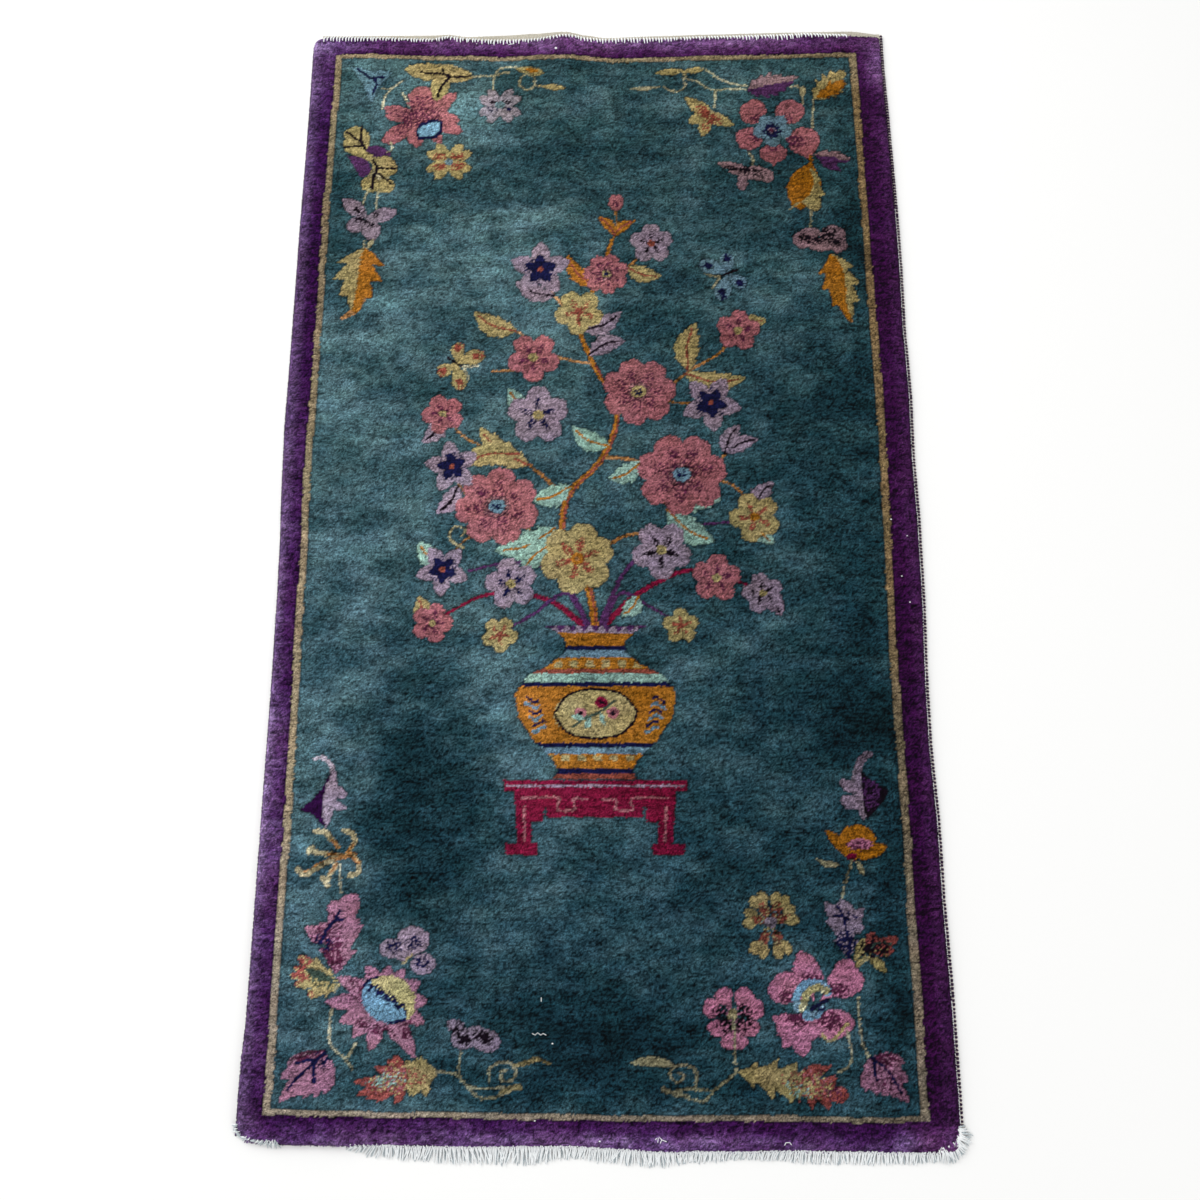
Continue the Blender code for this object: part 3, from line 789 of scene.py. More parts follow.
    # sand and brick leaf
    leaf("sand", ((180, -713), (300, -732), 38, 0.5, 0.8, 5, 0.35))
    leaf("brick", ((242, -722), (318, -741), 38, 0.5, 0.65, 4, 0.4))
    spikes((262, -718), [(299, -705), (285, -703)], 12, "brick", 0.5, 0.8)
    leaf("sand", ((228, -722), (276, -732), 30, 0.4, 0.7, 3), carve=False)
    speckle("sand", "brick", (270, -726, 30, 18, 0.4, -12))
    speckle("rose", "brick", (284, -726, 30, 16, 0.3, -12))
    speckle("wine", "brick", (304, -736, 18, 14, 0.3, -12))
    speckle("brick", "sand", (260, -724, 26, 16, 0.35, -12))
    speckle("mint", "sand brick", (252, -732, 22, 10, 0.3, -12))
    stems([[(178, -714), (160, -727), (148, -736), (138, -746), (118, -743), (108, -737)],
           [(148, -735), (122, -732), (100, -735)]], 3.4)
    stem([(118, -741), (100, -738), (86, -733)], 4.5, "stem", 6.5)
    stem([(127, -729), (129, -715), (121, -706), (104, -705), (96, -712), (98, -722), (108, -724),
          (112, -718), (107, -714)], 3.6)
    leaf("stem", ((100, -705), (46, -703), 11, 0.45, 0.6, 0, 0.3, -0.06))
    stems([[(336, -623), (336, -650), (338, -675), (347, -697)],
           [(320, -664), (324, -690), (321, -704), (308, -712)]])
    # pink corner leaf with navy veins
    spikes((348, -694), [(393, -748), (379, -741), (366, -740), (354, -738), (340, -735),
                         (394, -722), (390, -700)], 17, "pink", 0.6, 0.7)
    oval("pink", (366, -702, 21, 12, 5), (366, -714, 23, 16, -20), carve=False)
    speckle("wine", "pink", (366, -696, 24, 11, 0.75), (370, -718, 22, 18, 0.25))
    stem([(350, -696), (366, -708), (376, -722), (384, -736)], 3.4, "navy")
    stem([(353, -697), (352, -710), (354, -722)], 5.5, "navy", 4)


def low_table():
    """the plain crimson table under the vase, with straight legs and a stepped apron"""
    block([(-122, -352), (122, -352), (122, -366), (-122, -366)], "crimson")
    block([(-100, -366), (100, -366), (100, -386), (64, -386), (64, -400), (-64, -400), (-64, -386),
           (-100, -386)], "crimson")
    for side in (-1, 1):
        block([(side * 108, -364), (side * 84, -364), (side * 84, -438), (side * 102, -438)],
              "crimson")
        block([(side * 118, -434), (side * 76, -434), (side * 76, -448), (side * 118, -448)],
              "crimson")
        block([(side * 84, -384), (side * 68, -384), (side * 68, -406), (side * 84, -406)],
              "crimson")
        stems([[(side * 96, -375), (side * 50, -375), (side * 50, -390), (side * 28, -390),
                (side * 28, -377), (side * 10, -377)], [(side * 94, -386), (side * 93, -430)]],
              yarn="rose")
    stem([(-118, -359), (118, -359)], yarn="lilac")


def flower_vase():
    """a round-shouldered vase banded in ochre, navy, mint and sky"""
    heights = np.array([-350, -338, -326, -300, -268, -236, -212, -196, -180, -164, -150, -142.0])
    reaches = np.array([56, 50, 56, 82, 104, 110, 94, 62, 43, 40, 54, 72.0])
    place = area([(-115, -352), (115, -140)])
    x, y = look_x[place], look_y[place]
    reach = np.interp(y, heights, reaches)
    body = (np.abs(x) < reach) & (y > heights[0]) & (y < heights[-1])
    tie(place, body, "ochre")
    for low, high, yarn in ((-352, -343, "rust"), (-343, -336, "navy"), (-317, -308, "sky"),
                            (-308, -302, "navy"), (-226, -220, "navy"), (-220, -208, "mint"),
                            (-208, -202, "rust"), (-186, -176, "sky"), (-176, -170, "navy"),
                            (-152, -141, "lilac")):
        tie(place, body & (y > low) & (y < high), yarn, False)
    inner = body & (np.abs(x) < reach - 5)
    cell = np.floor((x + 200) / 11).astype(int)
    tie(place, body & (y > -326) & (y < -319) & (cell % 2 == 0), "sand", False)
    tie(place, inner & (y > -200) & (y < -190) & (cell % 2 == 1), "sand", False)
    tie(place, body & (y > -152) & (y < -141) & (np.abs((x + 200) % 16 - 8) < (y + 152) * 0.7),
        "violet", False)
    # the belly: a sand cartouche with a small sprig, and sky waves beside it
    oval("sand", (0, -263, 56, 33), carve=False)
    for side in (-1, 1):
        for i in range(3):
            tie(place, inner & (np.abs(x - side * (76 + 5 * i)) < 10)
                & (np.abs(y + 284 - 16 * i - 3.5 * np.sin(x / 4.0)) < 2.4), "sky", False)
            tie(place, inner & (np.abs(x - side * (76 + 5 * i)) < 9)
                & (np.abs(y + 276 - 16 * i - 3.5 * np.sin(x / 4.0)) < 1.9), "navy", False)
    stem([(-30, -281), (-12, -268), (4, -262), (26, -246)], yarn="moss")
    for x_at, y_at, yarn in ((-20, -262, "rose"), (8, -248, "crimson"), (24, -262, "rose")):
        oval(yarn, (x_at, y_at, 8.5, 7.5), carve=False)
        speckle("plum", None, (x_at, y_at, 4, 4, 0.8))
    leaf("mint", ((-6, -268), (-14, -284), 8), ((6, -262), (14, -280), 8),
         ((-14, -270), (-34, -266), 8), carve=False)
    stem(curve_through([(-56, -263), (-36, -237), (0, -230), (36, -237), (56, -263), (36, -289),
                        (0, -296), (-36, -289), (-56, -263)]), yarn="plum")


def peony(at, size, turn=0.0, eye="sky"):
    """a full rose of two rings of petals with a wine heart"""
    for i in range(7):
        angle = turn + i * 360 / 7
        spot = around(at, 0.66 * size, angle, 0.62 / 0.66)
        oval("rose", (*spot, 0.37 * size, 0.34 * size, angle, 0.18))
        rim = around(at, 0.42 * size, angle, 0.4 / 0.42)
        speckle("wine", "rose", (*rim, 0.3 * size, 0.16 * size, 0.5, angle))
    oval("rose", (*at, 0.42 * size, 0.38 * size), carve=False)
    speckle("wine", "rose", (*at, 0.46 * size, 0.42 * size, 0.45))
    oval(eye, (*at, 0.2 * size, 0.17 * size))
    speckle("navy", None, (*at, 0.14 * size, 0.12 * size, 0.7))


def round_blossom(at, size, petal, speck, eye, turn=0.0, count=5):
    """a flat blossom of round petals, as on a plum branch"""
    petals(at, size, count, size * 0.78, petal, turn, 0.05, 0.15)
    for i in range(count):
        angle = turn + 360 * i / count
        spot = around(at, 0.36 * size, angle)
        speckle(speck, petal, (*spot, 0.26 * size, 0.12 * size, 0.75, angle))
    oval(eye, (*at, 0.17 * size, 0.16 * size), carve=False)


def star_bloom(at, size, turn=0.0):
    """a lilac star with a navy heart"""
    angles = [turn + 72 * i for i in range(5)]
    spikes(at, [around(at, size, angle) for angle in angles], size * 0.62, "lilac", 0.5, 0.75)
    spikes(at, [around(at, 0.55 * size, angle) for angle in angles], size * 0.34, "navy", 0.5, 0.8)
    speckle("navy", "lilac", (*at, 0.55 * size, 0.55 * size, 0.4))
    oval("rust", (*at, 0.1 * size, 0.1 * size), carve=False)


def willow_leaves(yarn, vein, *rows):
    """long leaves with their midribs: base, tip, width and bend of each"""
    for base, tip, width, bend in rows:
        leaf(yarn, (base, tip, 1.2 * width, 0.45, 0.8, 4, 0.12, bend))
        base, tip = np.array(base, float), np.array(tip, float)
        side = np.array([base[1] - tip[1], tip[0] - base[0]]) * bend * 0.96
        stem([base, (base + tip) / 2 + side, base + 0.86 * (tip - base) + 0.45 * side], yarn=vein)


def butterfly(at, size, turn, wing, edge):
    """a resting butterfly seen from above"""
    for side in (-1, 1):
        for angle, reach, wide in ((48, 1.0, 0.52), (112, 0.72, 0.46)):
            way = turn + side * angle
            tip, spot = around(at, size * reach, way), around(at, 0.7 * size * reach, way)
            leaf(wing, (at, tip, size * wide, 0.66, 0.6))
            oval(edge, (*spot, size * 0.13, size * 0.12), carve=False)
            speckle(edge, wing, (*tip, size * 0.25, size * 0.25, 0.6))
    head = around(at, 0.34 * size, turn)
    stem([around(at, -0.3 * size, turn), head], 4.5, "plum", 3.2)
    for side in (-1, 1):
        stem([around(at, 0.3 * size, turn), around(at, 0.75 * size, turn + side * 22)])


def vase_of_flowers():
    """the middle of the rug: a table, a vase and one winding branch in flower"""
    for line, width, yarn in (
        ([(8, -146), (60, -96), (140, -62), (232, -92)], 9, "crimson"),
        ([(-10, -146), (-70, -104), (-150, -98), (-226, -136)], 9, "crimson"),
        ([(4, -146), (44, -60), (112, -6), (196, 8)], 7, "violet"),
        ([(-6, -146), (-52, -70), (-112, -52), (-178, -64)], 7, "violet"),
        ([(10, -146), (34, -96), (70, -112), (118, -140)], 6, "violet"),
        ([(-10, -146), (-40, -96), (-84, -124), (-130, -152)], 6, "violet"),
    ):
        stem(line, width, yarn, 3.0, carve=True)
    branch = [(0, -146), (-10, -90), (-44, -30), (-40, 44), (10, 104), (30, 176), (-4, 246),
              (-26, 318), (6, 388), (22, 448)]
    for line, width in (
        ([(-44, -34), (-88, -8), (-128, 18)], 6), ([(-40, 40), (-96, 92), (-142, 112)], 6),
        ([(10, 104), (64, 96), (112, 66)], 6), ([(30, 170), (88, 196), (134, 236)], 6),
        ([(-4, 246), (-66, 262), (-118, 300)], 5), ([(-26, 318), (-62, 356), (-76, 398)], 4.5),
        ([(6, 384), (46, 402), (72, 434)], 4.5), ([(-20, -66), (28, -20), (66, -8)], 5),
        ([(112, 66), (150, 72), (186, 110)], 4), ([(-128, 18), (-166, 24), (-196, 64)], 4),
        ([(64, 96), (88, 60), (104, 20)], 4), ([(-66, 262), (-110, 240), (-152, 236)], 4),
        ([(88, 196), (116, 186), (158, 190)], 4), ([(22, 440), (30, 470), (28, 500)], 3.4),
        ([(150, 72), (196, 60), (222, 22)], 4), ([(-128, 18), (-176, -12), (-214, -54)], 4),
        ([(134, 236), (178, 262), (206, 296)], 4), ([(-142, 112), (-186, 132), (-220, 166)], 4),
    ):
        stem(line, width, "ochre", 3.2)
    stem(branch, 10, "ochre", 5.0, carve=True)
    stem([(x + 2, y) for x, y in branch[:7]], yarn="rust")
    willow_leaves("sand", "rust", ((-96, 92), (-168, 150), 30, 0.12),
                  ((-110, 108), (-196, 92), 28, -0.1), ((134, 236), (146, 312), 30, 0.1),
                  ((128, 232), (218, 226), 26, -0.12))
    willow_leaves("lilac", "plum", ((-220, 166), (-250, 126), 22, 0.1),
                  ((222, 22), (252, 66), 22, 0.1))
    willow_leaves("sand", "rust", ((206, 296), (250, 316), 24, 0.1))
    willow_leaves("mint", "ochre", ((-214, -54), (-250, -22), 24, 0.1),
                  ((222, 18), (250, -26), 24, -0.1), ((64, 96), (18, 70), 24, 0.1),
                  ((-88, 168), (-128, 210), 24, 0.1), ((60, -100), (36, -128), 20, 0.1))
    willow_leaves("lilac", "plum", ((232, -92), (256, -128), 22, 0.1))
    willow_leaves("sand", "rust", ((-226, -136), (-246, -100), 22, 0.1),
                  ((-118, 300), (-182, 332), 27, 0.12))
    willow_leaves("mint", "ochre", ((104, 22), (178, 40), 30, 0.12),
                  ((100, 26), (168, -22), 32, -0.1), ((-58, -2), (-142, -34), 34, 0.12),
                  ((-50, -20), (-104, -66), 30, -0.1), ((-36, 60), (-92, 40), 26, 0.1),
                  ((18, 120), (-34, 150), 26, 0.12))
    willow_leaves("lilac", "plum", ((-10, 262), (42, 284), 24, 0.12),
                  ((-20, 300), (36, 330), 24, -0.1), ((-62, 356), (-120, 380), 22, 0.12))
    willow_leaves("sand", "rust", ((46, 402), (96, 388), 22, -0.1))
    willow_leaves("ochre", "rust", ((-2, 372), (-44, 424), 20, 0.12),
                  ((26, 456), (58, 480), 14, 0.1), ((26, 458), (2, 486), 14, -0.1))
    willow_leaves("lilac", "plum", ((186, 110), (232, 130), 20, 0.1),
                  ((184, 108), (206, 152), 20, 0.1), ((-196, 62), (-226, 20), 22, 0.12))
    peony((122, 78), 64, 10)
    peony((-140, 30), 60, 32)
    peony((62, 204), 54, 4, "sand")
    round_blossom((-26, -46), 54, "sand", "rust", "ochre", 18, 6)
    round_blossom((92, -34), 44, "lilac", "plum", "sand", 54)
    round_blossom((-118, -82), 38, "lilac", "navy", "sand", 30)
    round_blossom((168, -74), 36, "rose", "wine", "sand", 12)
    round_blossom((-84, 168), 46, "lilac", "navy", "sand", 18)
    round_blossom((-92, 258), 40, "rose", "wine", "sand", 54)
    star_bloom((-84, 400), 46, 90)
    star_bloom((166, 186), 44, 60)
    star_bloom((-206, 90), 40, 100)
    round_blossom((82, 442), 34, "lilac", "plum", "rust", 20)
    round_blossom((-26, 330), 38, "sand", "rust", "rust", 50)
    peony((14, 392), 34, 20, "sand")
    oval("rose", (29, 512, 11, 15, 0, 0.3, 90))
    speckle("wine", "rose", (29, 508, 7, 6, 0.6))
    round_blossom((224, 14), 38, "sand", "rust", "ochre", 40)
    star_bloom((-214, -62), 38, 50)
    round_blossom((208, 300), 34, "rose", "wine", "sand", 10)
    round_blossom((-222, 170), 32, "rose", "wine", "sand", 40)
    round_blossom((232, -96), 30, "lilac", "plum", "sand", 30)
    round_blossom((-226, -138), 30, "rose", "wine", "sand", 0)
    round_blossom((118, -142), 26, "sand", "rust", "rust", 20)
    round_blossom((-132, -154), 26, "sand", "rust", "rust", 60)
    butterfly((196, 392), 46, 205, "sky", "navy")
    butterfly((-206, 250), 44, -30, "sand", "rust")
    stem([(-186, -30), (-206, -18), (-200, 0), (-184, -4), (-190, -14)], 3.4, "sand")
    low_table()
    flower_vase()


border_and_stripe()
far_left_spray()
far_right_spray()
near_left_spray()
near_right_spray()
vase_of_flowers()


# --- the colour and height of each tuft ---------------------------------------------------------

# Painted sheen and shade: where the pile lies brushed towards the light it is painted lighter
# (above 0), and away from it darker: x, y, reach across, reach along, strength and, where it is
# turned, by how many degrees
BRUSHED_SHEEN = (
    (-392, 500, 34, 95, -0.96), (-250, 690, 110, 50, 0.47), (-60, 605, 130, 55, -0.5),
    (-110, 478, 60, 38, 0.42, 20), (-290, 545, 90, 38, -0.45), (-45, 400, 80, 70, 0.26),
    (200, 670, 190, 50, 0.39), (330, 565, 80, 38, -0.49), (240, 400, 130, 60, 0.33),
    (388, 440, 24, 120, -0.94), (330, 365, 60, 50, 0.26), (-355, 255, 60, 60, 0.23),
    (-275, 195, 60, 45, -0.33), (60, 280, 70, 40, -0.34), (350, 160, 75, 120, -0.5),
    (380, -130, 38, 170, -0.43), (-222, -370, 85, 165, -1.4), (-150, -360, 40, 110, -0.17),
    (-110, -310, 45, 70, 0.5), (345, -275, 70, 75, -0.9), (0, -690, 140, 60, -1.24),
    (-80, -630, 150, 60, -0.6), (60, -610, 160, 60, -0.32), (130, -455, 200, 60, -0.34),
    (388, -540, 26, 190, -0.85), (-225, -705, 90, 45, -0.4), (-330, -735, 60, 30, -0.3),
    (-60, -480, 200, 70, -0.22), (-100, 740, 110, 24, -0.2), (330, 740, 90, 25, 0.5),
    (-60, 300, 90, 50, 0.22), (340, -90, 60, 60, -0.26), (-200, 40, 80, 70, 0.25),
    (-200, 635, 65, 55, 0.45), (215, 735, 120, 30, 0.3), (-130, 700, 40, 50, -0.35),
    (300, -650, 55, 60, 0.5), (388, -690, 18, 60, -0.4), (280, 280, 70, 60, 0.3),
    (-130, 400, 60, 60, 0.3), (-150, -728, 90, 24, -0.4), (10, -455, 110, 60, 0.3),
    (0, 600, 60, 50, -0.25), (-120, -200, 60, 60, 0.3), (200, -175, 80, 50, 0.25),
    (-25, 710, 28, 50, -0.5), (325, 480, 34, 34, -0.8), (300, 400, 60, 45, 0.4),
    (-310, 345, 45, 40, 0.38), (0, 378, 48, 36, 0.55), (-30, 245, 30, 50, 0.5),
    (-275, 275, 34, 28, -0.4), (290, -100, 50, 45, 0.4), (0, -178, 50, 28, -0.5),
    (-150, -240, 48, 45, 0.48), (300, -475, 75, 30, -0.48), (-225, -575, 42, 36, 0.45),
    (90, -625, 190, 40, 0.34), (375, -640, 26, 45, -0.6), (-375, -680, 28, 34, -0.5),
    (-50, -726, 55, 26, -0.55), (150, -726, 50, 26, -0.5), (345, -325, 50, 30, -0.35),
)
# The same painted sheen and shade for the purple border: x, y, reach across, reach along
# and strength
BORDER_BRUSHED_SHEEN = (
    (-450, 0, 15, 900, 0.8), (-430, 0, 24, 900, 0.4), (-440, 735, 40, 60, 0.4),
    (-432, -390, 24, 170, 0.5), (-446, 230, 14, 230, -0.35), (-424, 380, 14, 160, -0.45),
    (-440, -700, 40, 120, 0.3), (0, 793, 480, 24, 1.2), (-400, 790, 60, 30, 0.1),
    (110, 779, 90, 9, -0.2), (260, 785, 180, 30, 0.25), (0, -798, 480, 14, 1.0),
    (0, -782, 480, 14, 0.17), (-250, -778, 240, 11, 0.25), (442, 0, 12, 800, 0.3),
    (438, 745, 30, 44, 1.15), (436, 600, 16, 60, 0.3), (425, -250, 12, 500, -0.2),
    (425, -788, 60, 20, 0.6), (-350, -792, 50, 12, 0.25), (427, 30, 12, 80, 0.3),
)


def strokes(table, x, y, firm):
    """the sum of the strokes at these places; the firmer they are, the sharper their rims"""
    total = np.zeros(x.shape)
    for at_x, at_y, reach_x, reach_y, strength, *turn in table:
        a, b = turned(x - at_x, y - at_y, *(turn or [0]))
        total += strength * np.exp(-((a / reach_x) ** 2 + (b / reach_y) ** 2) ** firm)
    return total


def painted_sheen_field():
    """the painted sheen and shade of each tuft, from the way it lies and the window, as a natural
    logarithm
    """
    x = knot_x + 16 * drift(46, 34) + 10 * drift(18, 12) + 4 * drift(8, 5)
    y = knot_y + 16 * drift(46, 34) + 10 * drift(18, 12) + 4 * drift(8, 5)
    patches = strokes(BRUSHED_SHEEN, x, y, 1.2)
    border = 0.32 + 0.15 * drift(40, 30) + 0.2 * drift(12, 8) + 0.16 * drift(7, 5)
    border += strokes(BORDER_BRUSHED_SHEEN, knot_x, knot_y, 1.5)
    # painted light: the whole rug is painted lighter towards the window side
    window = -0.42 * np.tanh((knot_x - 40) / 190)
    sheen_wisps = 0.24 * np.tanh(3 * drift(64, 34)) + 0.26 * np.tanh(2 * drift(30, 15))
    sheen_wisps += 0.24 * drift(15, 9) + 0.13 * drift(8, 5)
    # stripe and motifs are painted with less of it, and the stripe is darker along the far left
    far_left = smooth(knot_y / 400) * smooth(-knot_x / 150)
    worn = np.exp(-((knot_x + 408) / 30) ** 2 - ((knot_y - 270) / 240) ** 2)
    drawn = 0.4 * patches + 0.3 * sheen_wisps + 0.75 * window - 0.17 * far_left
    drawn -= 0.28 * worn * on_stripe
    return np.select([on_ground, on_border], [patches + sheen_wisps + window, border], drawn)


def beside(mask):
    """the tufts that touch the masked ones"""
    near = np.zeros(mask.shape, bool)
    near[1:] |= mask[:-1]
    near[:-1] |= mask[1:]
    near[:, 1:] |= mask[:, :-1]
    near[:, :-1] |= mask[:, 1:]
    return near


def mixed(noise, axis, share):
    """each tuft's value with a share of its two neighbours' along one axis"""
    return noise + share * (np.roll(noise, 1, axis) + np.roll(noise, -1, axis))


def tuft_noise(rounds):
    """random values for each tuft, alike with its near neighbours after some rounds of mixing"""
    noise = random.normal(0, 1, knot_x.shape)
    for axis in (0, 1) * rounds:
        noise = mixed(noise, axis, 0.5)
    return noise / noise.std()


def seams_of(numbers):
    """where one carved petal lies against the next"""
    seams = np.zeros(numbers.shape, bool)
    carved = numbers > STRIPE
    seams[:, 1:] |= carved[:, 1:] & carved[:, :-1] & (numbers[:, 1:] != numbers[:, :-1])
    seams[1:] |= carved[1:] & carved[:-1] & (numbers[1:] != numbers[:-1])
    return seams


on_ground, on_border, on_stripe = motif == GROUND, motif == BORDER, motif == STRIPE
random = np.random.default_rng(LAY_SEED)
painted_sheen_and_shade = painted_sheen_field()
plain = on_ground | on_border
halo = plain & beside(~plain)
rim = ~plain & beside(plain)
seams = seams_of(motif)
loose, soft, clumps = tuft_noise(0), tuft_noise(1), tuft_noise(3)
streaks = tuft_noise(0)
for _ in range(4):  # tufts of one row often lie alike
    streaks = mixed(streaks, 1, 0.6)
streaks /= streaks.std()


def dyed_tufts():
    """the linear colour of each tuft: its wool, its painted sheen and shade, its age and its grain
    """
    pure = np.array([shade(WOOLS[name]) for name in WOOL_NAMES])[wool] * np.exp(painted_sheen_and_shade)[..., None]
    # painted sheen: the wool is a little greyed, the ground's most, and more where it is painted
    # lighter
    sheen_grey_share = np.where(on_ground, 0.27 + 0.25 * painted_sheen_and_shade, 0.06 + 0.12 * painted_sheen_and_shade)
    sheen_grey_share = np.where(on_border, 0, np.clip(sheen_grey_share, 0, 0.42))[..., None]
    light = (pure @ LIGHTNESS)[..., None]
    colour = pure * (1 - sheen_grey_share) + sheen_grey_share * light * [0.97, 1.04, 0.95]
    # painted sheen: the border's dark wool is painted whiter where it lies towards the light, most
    # along the left side
    painted_sheen = 0.0062 * np.clip(np.exp(painted_sheen_and_shade) - 1, 0, None) ** 2
    painted_sheen += 0.022 * np.exp(-((knot_x + 452) / 18) ** 4)
    painted_sheen += 0.005 * np.exp(-((knot_x - 446) / 12) ** 4)
    # on the far and right side it is a warmer purple
    warm = np.clip(np.clip((knot_y - 720) / 40, 0, 1) * np.clip((knot_x + 420) / 120, 0, 1)
                   + np.clip((knot_x - 380) / 30, 0, 1), 0, 1) * on_border
    colour[..., 2] *= 1 - 0.23 * warm
    # the stripe is tanner up the right side and greyer at the near end
    tan = on_stripe * (knot_x > 300) * smooth((knot_y + 350) / 300) * smooth((745 - knot_y) / 60)
    cool = on_stripe * smooth((-350 - knot_y) / 250)
    colour *= np.exp(tan[..., None] * [0.06, -0.08, -0.30] + cool[..., None] * [0.0, 0.03, 0.14])
    # and all within it a little warmer towards the far end
    colour *= np.exp(~on_border * (knot_y / 700))[..., None] ** [0.02, 0, -0.07]
    colour += np.where(on_border, painted_sheen * (1 - 0.5 * warm), 0)[..., None] * [1, 1, 1.15]
    # single tufts differ most where the pile is painted darker by the way it lies
    uneven = np.clip(np.exp(-0.35 * np.where(on_border, painted_sheen_and_shade - 0.6, painted_sheen_and_shade)), 0.8, 1.5)
    uneven *= np.select([on_ground, on_border], [1.0, 1.25], 0.72)
    grain = uneven * (0.53 * loose + 0.04 * soft + 0.07 * clumps + 0.25 * streaks)
    grain = np.exp(grain - 0.3 * grain ** 2)
    for zone in (on_ground, on_border, motif > BORDER):
        grain[zone] /= grain[zone].mean()
    # painted shade: tufts along the carved outlines and seams are darkened as if shaded in the
    # grooves
    colour *= (grain * (1 - 0.42 * halo - 0.10 * rim - 0.14 * seams))[..., None]
    colour[..., 0] *= 1 + 0.05 * drift(35, 22)
    colour[..., 2] *= 1 + 0.06 * drift(28, 18)
    return np.clip(colour, 0.0012, 1)


def clipped_heights():
    """the height of each tuft over the floor: round at the edges, carved along the outlines"""
    fall = np.clip(edge_distance / PILE_FALL, 0, 1)
    height = PILE_EDGE_TOP + (PILE_TOP - PILE_EDGE_TOP) * np.sqrt(1 - (1 - fall) ** 2)
    inside_share = smooth(edge_distance / 5)
    height += inside_share * (0.10 * soft + 0.34 * loose + 0.17 * clumps + 0.14 * streaks)
    height += inside_share * (0.5 * drift(70, 50) + 0.35 * drift(18, 8))
    height -= CARVING * (halo + 0.35 * rim + 0.4 * seams) * inside_share
    return np.maximum(height, PILE_EDGE_TOP - 1.0)


tuft_colour = dyed_tufts()
tuft_height = clipped_heights()


# --- building ------------------------------------------------------------------------------------

def select_only(obj):
    """leaves this object as the one that is selected and active"""
    bpy.ops.object.select_all(action="DESELECT")
    obj.select_set(True)
    bpy.context.view_layer.objects.active = obj


def finished(obj, material):
    """a piece with its finish, at the origin, riding on the rug"""
    obj.data.materials.clear()
    obj.data.materials.append(material)
    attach(obj, "root")
    return obj


def put_vertices(mesh, place):
    """moves a mesh's vertices to these rows of metres"""
    mesh.vertices.foreach_set("co", place.ravel())


def put_colours(mesh, colours):
    """gives each vertex the colour of its tuft"""
    layer = mesh.attributes.new("tuft_colour", "FLOAT_COLOR", "POINT")
    values = np.ones((len(mesh.vertices), 4), np.float32)
    values[:, :3] = colours
    layer.data.foreach_set("color", values.ravel())


def net(name, x, y, height):
    """a net of square faces through these points of the chart"""
    rows, columns = x.shape
    bpy.ops.mesh.primitive_grid_add(x_subdivisions=columns - 1, y_subdivisions=rows - 1, size=1.0)
    obj = bpy.context.object
    obj.name = name
    put_vertices(obj.data, in_frame(x, y, height))
    select_only(obj)
    return obj


def thickened(obj, thickness):
    """makes a net a closed sheet, so many millimetres thick below its points"""
    solid = obj.modifiers.new("thickness", "SOLIDIFY")
    solid.thickness = thickness * MM
    solid.offset = -1
    bpy.ops.object.modifier_apply(modifier=solid.name)
    return obj


def faced_outward(degrees):
    """ends edit mode with all faces outward and the edges flatter than this angle smooth"""
    bpy.ops.mesh.select_all(action="SELECT")
    bpy.ops.mesh.normals_make_consistent(inside=False)
    bpy.ops.object.mode_set(mode="OBJECT")
    bpy.ops.object.shade_smooth_by_angle(angle=math.radians(degrees))


def new_material(name, roughness, specular):
    """a material with this gloss, and its shader"""
    material = bpy.data.materials.new(name)
    material.use_nodes = True
    shader = material.node_tree.nodes["Principled BSDF"]
    shader.inputs["Roughness"].default_value = roughness
    shader.inputs["Specular IOR Level"].default_value = specular
    return material, shader


def cover(material, shader, coat, relief):
    """links the colour of a mixing node and the relief of a bump node to the shader"""
    material.node_tree.links.new(coat.outputs[2], shader.inputs["Base Color"])
    material.node_tree.links.new(relief.outputs["Normal"], shader.inputs["Normal"])
    return material


def wool_pile_material():
    """dyed wool, hand knotted and clipped: dull and soft, with a faint bloom at a slant"""
    material, shader = new_material("dyed wool pile", 0.93, 0.04)
    shader.inputs["Sheen Weight"].default_value = 0.02
    shader.inputs["Sheen Roughness"].default_value = 0.5
    place = add_node(material, "ShaderNodeTexCoord").outputs["Object"]
    dye = add_node(material, "ShaderNodeAttribute", attribute_name="tuft_colour")
    fibre = add_node(material, "ShaderNodeTexNoise", {
        "Vector": place, "Scale": FIBRES_PER_MM / MM, "Detail": 2.0, "Roughness": 0.75})
    tone = add_node(material, "ShaderNodeMapRange", {
        "Value": fibre.outputs["Fac"], "From Min": 0.3, "From Max": 0.7, "To Min": 0.0,
        "To Max": 2.0})
    coat = add_node(material, "ShaderNodeMix", {
        "Factor": 1.0, 6: dye.outputs["Color"], 7: tone.outputs["Result"]},
        data_type="RGBA", blend_type="MULTIPLY")
    relief = add_node(material, "ShaderNodeBump", {
        "Strength": 0.45, "Distance": 0.6 * MM, "Height": fibre.outputs["Fac"]})
    return cover(material, shader, coat, relief)


